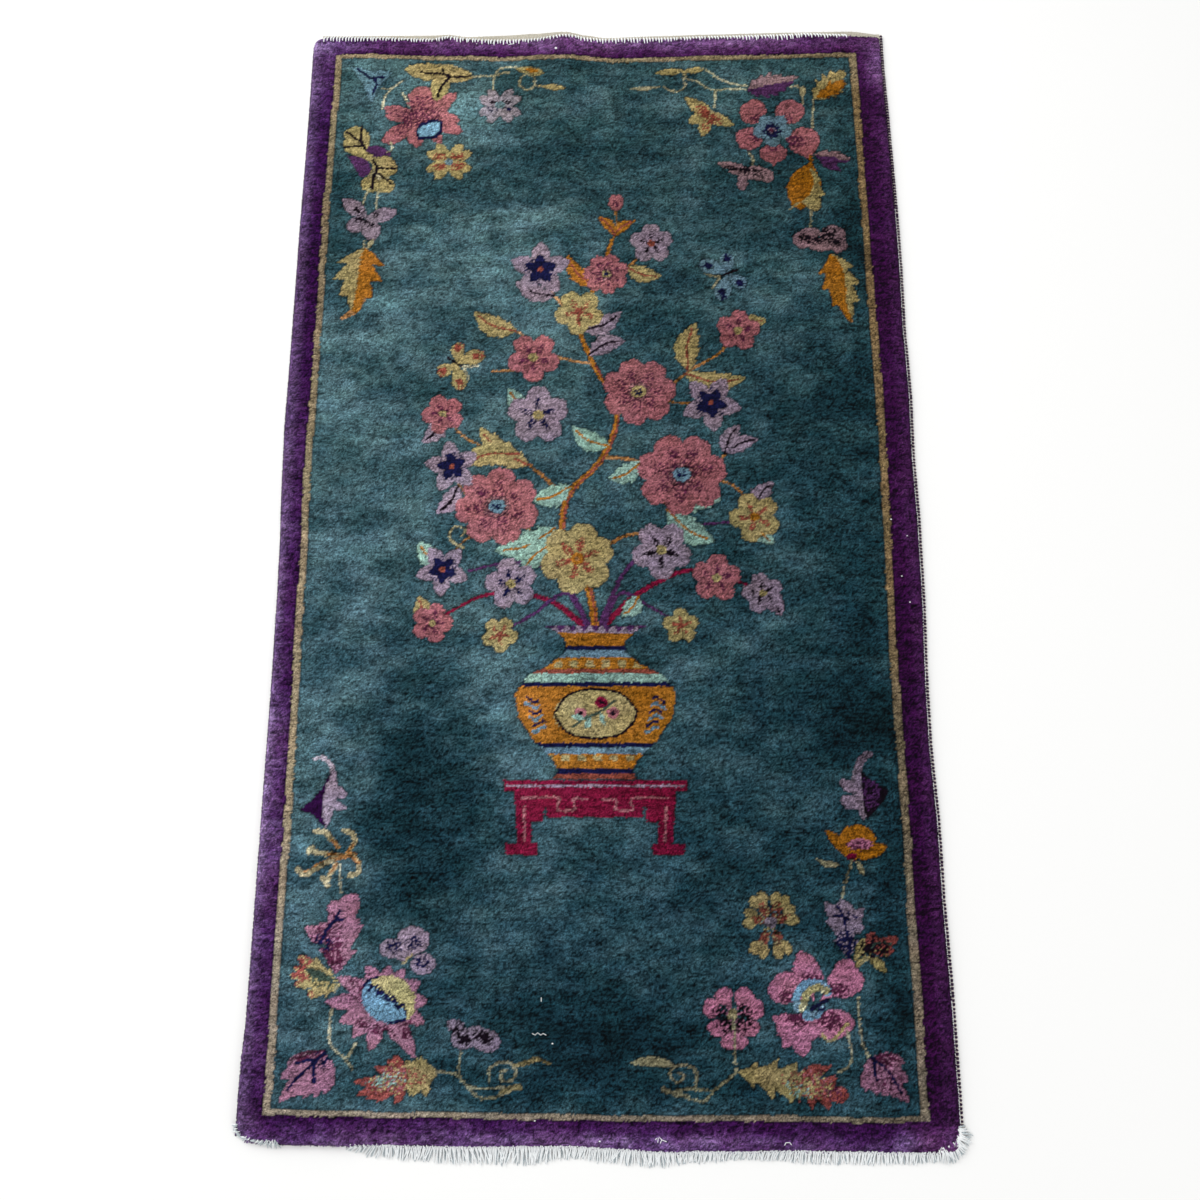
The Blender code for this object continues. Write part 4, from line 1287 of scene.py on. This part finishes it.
def knot_back_material():
    """the back of the knots: the same dyes seen as flat nubs between cotton wefts, much duller"""
    material, shader = new_material("knot backs on cotton", 0.9, 0.2)
    place = add_node(material, "ShaderNodeTexCoord").outputs["Object"]
    parts = add_node(material, "ShaderNodeSeparateXYZ", {"Vector": place})
    edges = []
    for axis, middle, half in zip("XY", CHART_ORIGIN, FIELD_HALF):
        off = add_node(material, "ShaderNodeMath", {0: parts.outputs[axis], 1: middle},
                       operation="SUBTRACT")
        size = add_node(material, "ShaderNodeMath", {0: off.outputs[0]}, operation="ABSOLUTE")
        edges.append(add_node(material, "ShaderNodeMath", {0: size.outputs[0], 1: half},
                              operation="SUBTRACT"))
    out = add_node(material, "ShaderNodeMath", {0: edges[0].outputs[0], 1: edges[1].outputs[0]},
                   operation="MAXIMUM")
    ramp = add_node(material, "ShaderNodeMapRange", {
        "Value": out.outputs[0], "From Min": -0.05, "From Max": 0.05})
    dyes = add_node(material, "ShaderNodeValToRGB", {"Fac": ramp.outputs["Result"]})
    dyes.color_ramp.interpolation = "CONSTANT"
    stops = dyes.color_ramp.elements
    stops[0].color = (*shade("#3F6A6C"), 1)
    stops[1].position = 0.5
    stops[1].color = (*shade("#573473"), 1)
    guard = stops.new(0.4)
    guard.color = (*shade("#B09A6C"), 1)
    weave = add_node(material, "ShaderNodeTexVoronoi", {
        "Vector": place, "Scale": NUBS_PER_MM / MM})
    nubs = add_node(material, "ShaderNodeMapRange", {
        "Value": weave.outputs["Distance"], "To Min": 1.15, "To Max": 0.55})
    coat = add_node(material, "ShaderNodeMix", {
        "Factor": 1.0, 6: dyes.outputs["Color"], 7: nubs.outputs["Result"]},
        data_type="RGBA", blend_type="MULTIPLY")
    relief = add_node(material, "ShaderNodeBump", {
        "Strength": 0.5, "Distance": 0.8 * MM, "Height": weave.outputs["Distance"]})
    return cover(material, shader, coat, relief)


def yarn_material(name, colour, light, twist_mm, roughness=0.85):
    """plied yarn: fine slanting plies in relief, a little uneven in colour"""
    material, shader = new_material(name, roughness, 0.2)
    place = add_node(material, "ShaderNodeTexCoord").outputs["Object"]
    cloud = add_node(material, "ShaderNodeTexNoise", {
        "Vector": place, "Scale": CLOUDS_PER_MM / MM, "Detail": 4.0, "Roughness": 0.7})
    ply = add_node(material, "ShaderNodeTexWave", {
        "Vector": place, "Scale": 1 / (twist_mm * MM) / 2, "Distortion": 3.0, "Detail": 2.0},
        bands_direction="DIAGONAL")
    both = add_node(material, "ShaderNodeMath", {0: cloud.outputs["Fac"], 1: ply.outputs["Fac"]},
                    operation="MULTIPLY")
    span = add_node(material, "ShaderNodeMapRange", {
        "Value": both.outputs[0], "From Min": 0.05, "From Max": 0.4})
    coat = add_node(material, "ShaderNodeMix", {
        "Factor": span.outputs["Result"], 6: (*shade(colour), 1), 7: (*shade(light), 1)},
        data_type="RGBA")
    relief = add_node(material, "ShaderNodeBump", {
        "Strength": 0.5, "Distance": 0.4 * MM, "Height": ply.outputs["Fac"]})
    return cover(material, shader, coat, relief)


def pile_band(index, first, last, material):
    """one band of the pile across the rug: a closed block whose top holds every tuft"""
    rows = slice(first, last + 1)
    obj = net(f"pile_{index + 1}", knot_x[rows], knot_y[rows], tuft_height[rows])
    mesh = obj.data
    mesh.name = obj.name
    top = len(mesh.vertices)
    put_colours(mesh, tuft_colour[rows].reshape(-1, 3))
    bpy.ops.object.mode_set(mode="EDIT")
    bpy.ops.mesh.select_all(action="SELECT")
    bpy.ops.mesh.region_to_loop()
    bpy.ops.mesh.extrude_edges_move(TRANSFORM_OT_translate={"value": (0, 0, -MM)})
    bpy.ops.object.mode_set(mode="OBJECT")
    place = vertices_of(mesh)
    place[top:, 2] = PILE_FOOT * MM
    put_vertices(mesh, place)
    bpy.ops.object.mode_set(mode="EDIT")
    bpy.ops.mesh.edge_face_add()
    faced_outward(62)
    bake_map(mesh, top)
    return finished(obj, material)


def bake_map(mesh, top):
    """a flat map of the top, with the walls and the underside in strips of their own above it"""
    while mesh.uv_layers:
        mesh.uv_layers.remove(mesh.uv_layers[0])
    layer = mesh.uv_layers.new(name="OFBake")
    corners = np.zeros(len(mesh.loops), np.int32)
    mesh.loops.foreach_get("vertex_index", corners)
    place = vertices_of(mesh)
    low, high = place.min(axis=0), place.max(axis=0)
    share = (place - low) / (high - low)
    spots = np.empty((len(corners), 2), np.float32)
    spots[:, 0] = MAP_RIM + MAP_WIDTH * share[corners, 0]
    spots[:, 1] = MAP_RIM + MAP_TOP * share[corners, 1]
    for polygon in mesh.polygons:
        own = slice(polygon.loop_start, polygon.loop_start + polygon.loop_total)
        face = share[corners[own]]
        if polygon.loop_total > 4:
            spots[own, 1] = MAP_UNDERSIDE[0] + MAP_UNDERSIDE[1] * face[:, 1]
        elif (corners[own] >= top).any():
            on_side = np.ptp(face[:, 1]) > np.ptp(face[:, 0])
            spots[own, 0] = MAP_RIM + MAP_WIDTH * face[:, 1 if on_side else 0]
            spots[own, 1] = (MAP_SIDES if on_side else MAP_ENDS) + MAP_WALL * face[:, 2]
    layer.data.foreach_set("uv", spots.ravel())


def foundation_sheet(material):
    """the knotted foundation under the pile, one flat sheet with the rug's outline"""
    u, v = np.meshgrid(np.linspace(0, 1, 61), np.linspace(0, 1, 108))
    y = (v - 0.5) * PILE_LENGTH
    x = left_edge(y) + FOUNDATION_INSET
    x += (right_edge(y) - left_edge(y) - 2 * FOUNDATION_INSET) * u
    y = near_edge(x) + FOUNDATION_INSET + (far_edge(x) - near_edge(x) - 2 * FOUNDATION_INSET) * v
    for corner, radius in CORNER_RADII.items():  # its four corner points are pulled in
        end, side = corner.split("_")
        j, up = (0, 1) if end == "near" else (-1, -1)
        i, right = (0, 1) if side == "left" else (-1, -1)
        x[j, i] += 0.3 * radius * right
        y[j, i] += 0.3 * radius * up
    return finished(thickened(net("foundation", x, y, FOUNDATION_TOP), FOUNDATION_TOP), material)


pile_finish = wool_pile_material()
foundation = foundation_sheet(knot_back_material())
bands = []
breaks = np.linspace(0, len(ROWS) - 1, PILE_PIECES + 1).round().astype(int)
for index, (first, last) in enumerate(zip(breaks, breaks[1:])):
    bands.append(pile_band(index, int(first), int(last), pile_finish))
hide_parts("rug_body")
for band in bands:
    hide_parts("rug_body")

# --- the edges: side cords, woven ends, fringe and lint -------------------------------------------

def spun(name, runs, thickness, material, nodes, sides=0):
    """yarns or tufts as one piece: each run is its points as x, y, height and relative width"""
    curve = bpy.data.curves.new(name, "CURVE")
    curve.dimensions = "3D"
    curve.bevel_depth = thickness * MM / 2
    curve.bevel_resolution = sides
    curve.use_fill_caps = True
    for run in runs:
        x, y, height, widths = np.array(run, float).T
        spline = curve.splines.new("POLY")
        spline.points.add(len(run) - 1)
        for point, place, width in zip(spline.points, in_frame(x, y, height), widths):
            point.co = (*place, 1)
            point.radius = width
    obj = bpy.data.objects.new(name, curve)
    bpy.context.scene.collection.objects.link(obj)
    select_only(obj)
    bpy.ops.object.convert(target="MESH")
    bpy.ops.object.mode_set(mode="EDIT")
    bpy.ops.mesh.select_all(action="SELECT")
    bpy.ops.mesh.remove_doubles(threshold=1e-6)
    faced_outward(70)
    obj = finished(bpy.context.object, material)
    if nodes:
        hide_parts(*nodes)
    return obj


def wander(places, cell):
    """soft random drift between -1 and 1 along a row of places"""
    lattice = random.uniform(-1, 1, int(np.ptp(places) / cell) + 3)
    return np.interp(places, places.min() + cell * np.arange(len(lattice)), lattice)


def shifted(first, last, step):
    """places at even steps, each moved a little at random"""
    places = np.arange(first, last, step)
    return places + random.normal(0, 0.5, places.size)


def edge_tufts():
    """the outermost tufts, which splay over the four edges"""
    runs = []
    for side, edge in ((-1, left_edge), (1, right_edge)):
        y = shifted(-788, 790, EDGE_TUFT_PITCH)
        foot, tip = random.uniform(1.0, 3.4, y.size), random.uniform(-0.6, 1.3, y.size)
        rise = 5.4 + 0.9 * foot - 1.2 * tip + random.normal(0, 0.6, y.size)
        for at, inward, outward, height in zip(y, foot, tip, rise):
            x = float(edge(at))
            runs.append([(x - side * inward, at, 4.2, 1.0),
                         (x + side * outward, at + random.normal(0, 0.6), height, 0.55)])
    for side, edge in ((-1, near_edge), (1, far_edge)):
        x = shifted(-436, 438, EDGE_TUFT_PITCH)
        # over two stretches of the far end they hang out further
        hangs = np.exp(-((x + 300) / 55) ** 4) + 1.2 * np.exp(-((x + 435) / 60) ** 4)
        hangs = hangs if side > 0 else 0 * hangs
        foot = random.uniform(1.0, 3.6, x.size)
        tip = random.uniform(-0.6, 1.5, x.size) + hangs * random.uniform(1, 6, x.size)
        rise = 5.4 + 0.9 * foot - 0.8 * tip + random.normal(0, 0.6, x.size)
        for at, inward, outward, height in zip(x, foot, tip, rise):
            y = float(edge(at))
            runs.append([(at, y - side * inward, 4.2, 1.0),
                         (at + random.normal(0, 0.6), y + side * outward, max(height, 3.0), 0.55)])
    tufts = spun("edge_tufts", runs, 2.3, pile_finish, ["rug_body"])
    # each has the wool of the chart beside it, with painted shade that darkens it towards its foot
    place = in_chart(vertices_of(tufts.data))
    j = np.clip(np.searchsorted(row_y, place[:, 1]), 2, len(row_y) - 3)
    i = np.clip(np.searchsorted(column_x, place[:, 0]), 2, len(column_x) - 3)
    put_colours(tufts.data, tuft_colour[j, i] * (0.55 + 0.07 * place[:, 2:3]))
    return tufts


def side_cord(side, edge, out, core, wrap):
    """the overcast cord along one side: a cotton core with dark wool wound over it in turns"""
    top = 799 if side < 0 else 812
    y = np.arange(-792, top, 6.0)
    sway = 0.15 * wander(y, 30)
    line = edge(y) + side * out + sway
    node = "selvage_left" if side < 0 else "selvage_right"
    cord = spun(f"{node}_core", [[(a, b, core + 0.1, 1.0) for a, b in zip(line, y)]], 2 * core,
                cream_cotton, [node], 1)
    turns = []
    for at in np.arange(-790, top - 2, WRAP_PITCH):
        at = at + random.normal(0, 0.25)
        x, z = float(edge(at)) + side * out, wrap + 0.1
        half, slant = 1.65 + random.normal(0, 0.2), 0.45 + random.normal(0, 0.12)
        swell = 1 + random.normal(0, 0.04)
        turns.append([(x + share * slant, at + share * half, z, width) for share, width in
                      ((-1, 0.62), (-0.7, swell), (0.7, swell), (1, 0.62))])
    wound = spun(f"{node}_wraps", turns, 2 * wrap, overcast_wool, [node], 1)
    return [cord, wound]


def web_strip(name, inner, outer, first, last, material):
    """a plain woven strip of the cotton foundation beyond the pile"""
    u, v = np.meshgrid(np.linspace(first, last, 461), np.linspace(0, 1, 7))
    y = inner(u) + (outer(u) - inner(u)) * v
    warp = np.where(np.arange(u.shape[1]) % 2, 0.2, -0.1)
    height = 1.85 + warp + 0.25 * drift(30, 6, u, y) - 0.5 * v ** 3
    x = u + 0.3 * drift(8, 5, u, y)
    obj = finished(thickened(net(name, x, y, height), WEB_THICKNESS), material)
    bpy.ops.object.mode_set(mode="EDIT")
    faced_outward(60)
    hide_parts(name.replace("_cloth", ""))
    return obj


def far_end():
    """the woven web at the far end, its warps, and the white stitches over the pile's edge"""
    points = chart_points("web_far")
    outside = points[points[:, 1] > far_edge(points[:, 0]) + 5][:, :2]
    outer = line_through(outside, 0)
    cloth = web_strip("web_far_cloth", lambda x: far_edge(x) + 0.4, lambda x: outer(x) - 0.8,
                      -437, 446, web_cotton)
    x = np.arange(-436, 447, WEB_WARP_PITCH)
    lean = 0.8 * wander(x, 25)
    warps = []
    for at, off in zip(x, lean):
        start, end = float(far_edge(at)) + 1.0, float(outer(at)) + random.uniform(-1.5, 1.0)
        middle = (start + end) / 2
        warps.append([(at, start, 2.2, 1.0),
                      (at + 0.5 * off, middle, 2.1 + random.normal(0, 0.15), 1.0),
                      (at + off + random.normal(0, 0.4), end, 1.5, 0.5)])
    threads = spun("web_far_warps", warps, 1.1, web_warp, ["web_far"])
    stitches = []
    for at in np.arange(-432, 392, STITCH_PITCH):
        at = at + random.normal(0, 0.3)
        edge = float(far_edge(at))
        reach = random.uniform(7.5, 12.0) * (0.85 + 0.15 * math.sin(at / 37))
        off = random.normal(0.5, 0.7)
        stitches.append([(at, edge + 6.0, 3.4, 0.9), (at + 0.1 * off, edge + 1.5, 7.6, 1.1),
                         (at + 0.3 * off, edge - 1.5, 10.4, 1.1),
                         (at + 0.6 * off, edge - 0.5 * reach, 12.4, 1.0),
                         (at + off, edge - reach, 12.6, 0.5)])
    teeth = spun("web_far_stitches", stitches, 2.3, white_cotton, ["web_far"])
    return [cloth, threads, teeth]


def steps_along(path, first, step):
    """walks a line at even steps: how far along it each is, from 0 to 1, and the row there"""
    path = np.array(path, float)
    reached = np.concatenate([[0], np.cumsum(np.hypot(*np.diff(path[:, :2], axis=0).T))])
    for at in np.arange(first, reached[-1], step):
        yield at / reached[-1], [np.interp(at, reached, column) for column in path.T]


def fringe_roots():
    """the bundles of the fringe: root x and y, direction, length and lift of each"""
    comb = chart_points("fringe_near")[:, :2]
    slots = np.arange(-455, 456, 8.0)
    deepest = np.array([comb[np.abs(comb[:, 0] - at) < 9][:, 1].min(initial=0) for at in slots])
    x = np.arange(-304, 428, BUNDLE_PITCH)
    for at, tilt in zip(x, 0.3 * wander(x, 24) - 0.06):
        edge = float(near_edge(at))
        length = max(edge - float(np.interp(at, slots, deepest)), 6)
        first = max(0, 1 - (at + 304) / 60)  # the first ones lie over to the left
        yield at, edge, math.radians(-90 - 50 * first) + tilt, length, 0.0
    for _, (root_x, root_y, turn, length) in steps_along(CORNER_FAN, 1.5, 3.2):
        yield root_x, root_y, math.radians(turn + random.normal(0, 6)), length, 2.0


def bundle_threads(root, aim, length, lift, strands, inner):
    """one bundle: three plies over the pile's edge and two more below them"""
    way = np.array([math.cos(aim), math.sin(aim)])
    across_way = np.array([-way[1], way[0]])
    for off, kind in ((-1.9, strands), (0, strands), (1.9, strands),
                      (random.normal(0.9, 0.4), inner), (random.normal(2.9, 0.4), inner)):
        reach = max(length * random.uniform(0.84, 1.1), 4.5)
        splay = random.normal(0, 0.15) + 0.03 * off
        top = random.uniform(1.0, 3.2) + lift * random.uniform(-0.5, 0.3)
        curl = random.normal(0, 0.7)
        lower = 0 if kind is strands else 1.2
        run = []
        for t, rise, wide in ((-top / reach, 9.2 + 0.3 * top + 0.5 * lift, 0.8),
                              (0.06, 7.0 + 1.7 * lift, 1.15), (0.35, 4.2 + 2.3 * lift, 1.1),
                              (0.7, 2.6 + 1.2 * lift, 1.0), (1.0, 1.5 + 0.2 * lift, 0.6)):
            aside = off + splay * reach * max(t, 0) + curl * math.sin(3 * max(t, 0))
            spot = root + way * reach * t + across_way * aside
            run.append((*spot, max(rise - lower, 0.9), wide))
        kind.append(run)


def frayed_corner(strands, inner):
    """the near left corner, where only short frayed tufts are left"""
    for t, root in steps_along(FRAYED_LINE, 0, 1.7):
        aim = math.radians(-168 + 62 * t + random.normal(0, 22))
        way = np.array([math.cos(aim), math.sin(aim)])
        reach = random.uniform(4.5, 8.0)
        kind = inner if random.random() < 0.5 else strands
        kind.append([(*(root + way * reach * a), height, wide) for a, height, wide in
                     ((-0.9, 11.6, 0.5), (-0.35, 10.4, 1.0), (0.15, 7.0, 1.1), (0.6, 3.6, 0.9),
                      (1, 1.8, 0.4))])


def near_end():
    """the narrow web at the near end and the worn fringe of plied warp ends"""
    points = chart_points("web_near")
    outside = points[points[:, 1] < near_edge(points[:, 0]) - 1.2][:, :2]
    outer = line_through(outside, 0)
    cloth = web_strip("web_near_cloth", lambda x: outer(x) + 0.4, lambda x: near_edge(x) - 0.4,
                      -398, 430, web_cotton)
    strands, inner = [], []
    for root_x, root_y, aim, length, lift in list(fringe_roots()):
        bundle_threads((root_x, root_y), aim, length, lift, strands, inner)
    frayed_corner(strands, inner)
    for _ in range(24):  # loose threads
        at = random.uniform(-318, 430)
        edge = float(near_edge(at))
        way_x = random.uniform(-6, 6)
        strands.append([(at, edge + 1, 9.8, 0.4),
                        (at + 0.4 * way_x, edge + random.uniform(-2, 2), 11.0, 0.4),
                        (at + way_x, edge - random.uniform(2, 9), 6.0, 0.3)])
    # the plies below are painted grey: painted shade between the white strands, and dust
    under = spun("fringe_inner", inner, 1.7, shade_grey_cotton, ["fringe_near"])
    fringe = spun("fringe_strands", strands, 1.5, white_cotton, ["fringe_near"])
    return [cloth, under, fringe]


def white_side_line():
    """the bare cotton thread that shows between the pile and the right-hand cord"""
    y = np.arange(-797, 505, 5.0)
    x = right_edge(y) + 1.2 + 0.3 * wander(y, 14)
    height = 4.2 + 0.5 * wander(y, 20)
    return spun("side_thread", [list(zip(x, y, height, 0.8 + 0.3 * random.random(y.size)))], 1.6,
                white_cotton, ["selvage_right"], 1)


def lint():
    """scraps of white cotton caught in the pile"""
    top = PILE_TOP + 0.6
    scraps = []
    for x, y, size in ((-65, 782, 2.6), (-136, 790, 1.6), (-164, 792, 1.2), (415, 10, 1.5),
                       (425, -72, 1.2), (434, -109, 1.3), (436, -14, 1.1), (7, -793, 1.4),
                       (-74, -770, 1.2), (-450, -470, 1.3), (-53, -680, 1.4), (-190, 791, 1.0)):
        scraps.append([(x - 0.7 * size, y - 0.3, top, 0.5 * size), (x, y + 0.2, top + 0.5, size),
                       (x + 0.7 * size, y, top, 0.5 * size)])
    zigzag = [(-79, -668), (-75, -670), (-72, -667), (-68, -670), (-65, -668), (-61, -670)]
    scraps.append([(x, y, top + 0.3, 0.5) for x, y in zigzag])
    for line in ([(76, -791), (80, -787), (84, -791), (90, -793)], [(80, -787), (79, -794)],
                 [(84, -791), (82, -795)], [(-140, 789), (-132, 791)], [(-68, -625), (-68, -630)],
                 [(236, -796.5), (237.5, -793.5), (242.5, -793.2), (244.5, -796)]):
        scraps.append([(x, y, top, 0.6) for x, y in line])
    return spun("lint", scraps, 1.5, white_cotton, [], 1)


# Unbleached cotton, plied: white with a cold cast, its plies just visible
white_cotton = yarn_material("unbleached cotton yarn", "#EAF0F2", "#FFFFFF", 1.3)
# The plies below them, painted grey for the shade they lie in and for dust
shade_grey_cotton = yarn_material("dusty cotton yarn in shade", "#A3AEB3", "#D2DADD", 1.3)
# Cotton under the wrapping, greyed by handling
cream_cotton = yarn_material("handled cotton cord", "#B9AFA4", "#E4DDD3", 1.5)
# Wool wound over the side cords: nearly black purple
overcast_wool = yarn_material("overcast wool", "#1B0D20", "#3C2445", 1.1, 0.9)
# The web's cotton, beige-grey with the dust of years
web_cotton = yarn_material("woven cotton web", "#9A9482", "#CFC9BA", 2.4, 0.9)
# The warps in it, a shade lighter, their plies just visible
web_warp = yarn_material("cotton warps", "#B0AA9C", "#E2DDD0", 1.2, 0.9)

edge_pieces = [edge_tufts(), *side_cord(-1, left_edge, 1.1, 1.1, 1.45),
               *side_cord(1, right_edge, 3.8, 1.9, 2.35), white_side_line(), *far_end(),
               *near_end(), lint()]


# --- stage, light and camera ----------------------------------------------------------------------

def pale_floor():
    """the plain floor that the rug lies on"""
    bpy.ops.mesh.primitive_plane_add(size=12.0, location=(0, 0, 0))
    floor = bpy.context.object
    floor.name = "floor"
    # matt white paper: pale, without gloss
    material, shader = new_material("matt white paper", 0.9, 0.1)
    shader.inputs["Base Color"].default_value = (*shade("#F4F4F3"), 1)
    floor.data.materials.append(material)


def soft_light(name, place, side, watts):
    """a square lamp that shines on the middle of the rug"""
    lamp = bpy.data.lights.new(name, "AREA")
    lamp.size = side
    lamp.energy = watts
    obj = bpy.data.objects.new(name, lamp)
    bpy.context.scene.collection.objects.link(obj)
    obj.location = place
    obj.rotation_euler = (-Vector(place)).to_track_quat("-Z", "Y").to_euler()


def studio():
    """soft daylight from all round, more of it from a window on the far left"""
    world = bpy.data.worlds.new("soft daylight")
    world.use_nodes = True
    sky = world.node_tree.nodes["Background"]
    sky.inputs["Color"].default_value = (1.0, 1.0, 1.0, 1)
    sky.inputs["Strength"].default_value = 0.75
    bpy.context.scene.world = world
    soft_light("window", (-2.2, 1.6, 2.4), 2.2, 75)
    soft_light("fill", (1.8, -1.8, 2.6), 3.0, 18)
    bpy.context.scene.view_settings.view_transform = "Standard"


def photo_camera():
    """the camera as it stood for the photograph"""
    azimuth, down, roll = (math.radians(a) for a in (CAMERA_AZIMUTH, CAMERA_DOWN, CAMERA_ROLL))
    ahead = Vector((math.sin(azimuth) * math.cos(down), math.cos(azimuth) * math.cos(down),
                    -math.sin(down)))
    level = Vector((math.cos(azimuth), -math.sin(azimuth), 0))
    upright = level.cross(ahead)
    right = math.cos(roll) * level + math.sin(roll) * upright
    up = math.cos(roll) * upright - math.sin(roll) * level
    lens = bpy.data.cameras.new("photo camera")
    lens.lens, lens.sensor_width, lens.sensor_fit = LENS_MM, SENSOR_MM, "HORIZONTAL"
    camera = bpy.data.objects.new("photo camera", lens)
    bpy.context.scene.collection.objects.link(camera)
    facing = Matrix((right, up, -ahead)).transposed().to_4x4()
    camera.matrix_world = Matrix.Translation(CAMERA_AT) @ facing
    bpy.context.scene.camera = camera


pale_floor()
studio()
photo_camera()
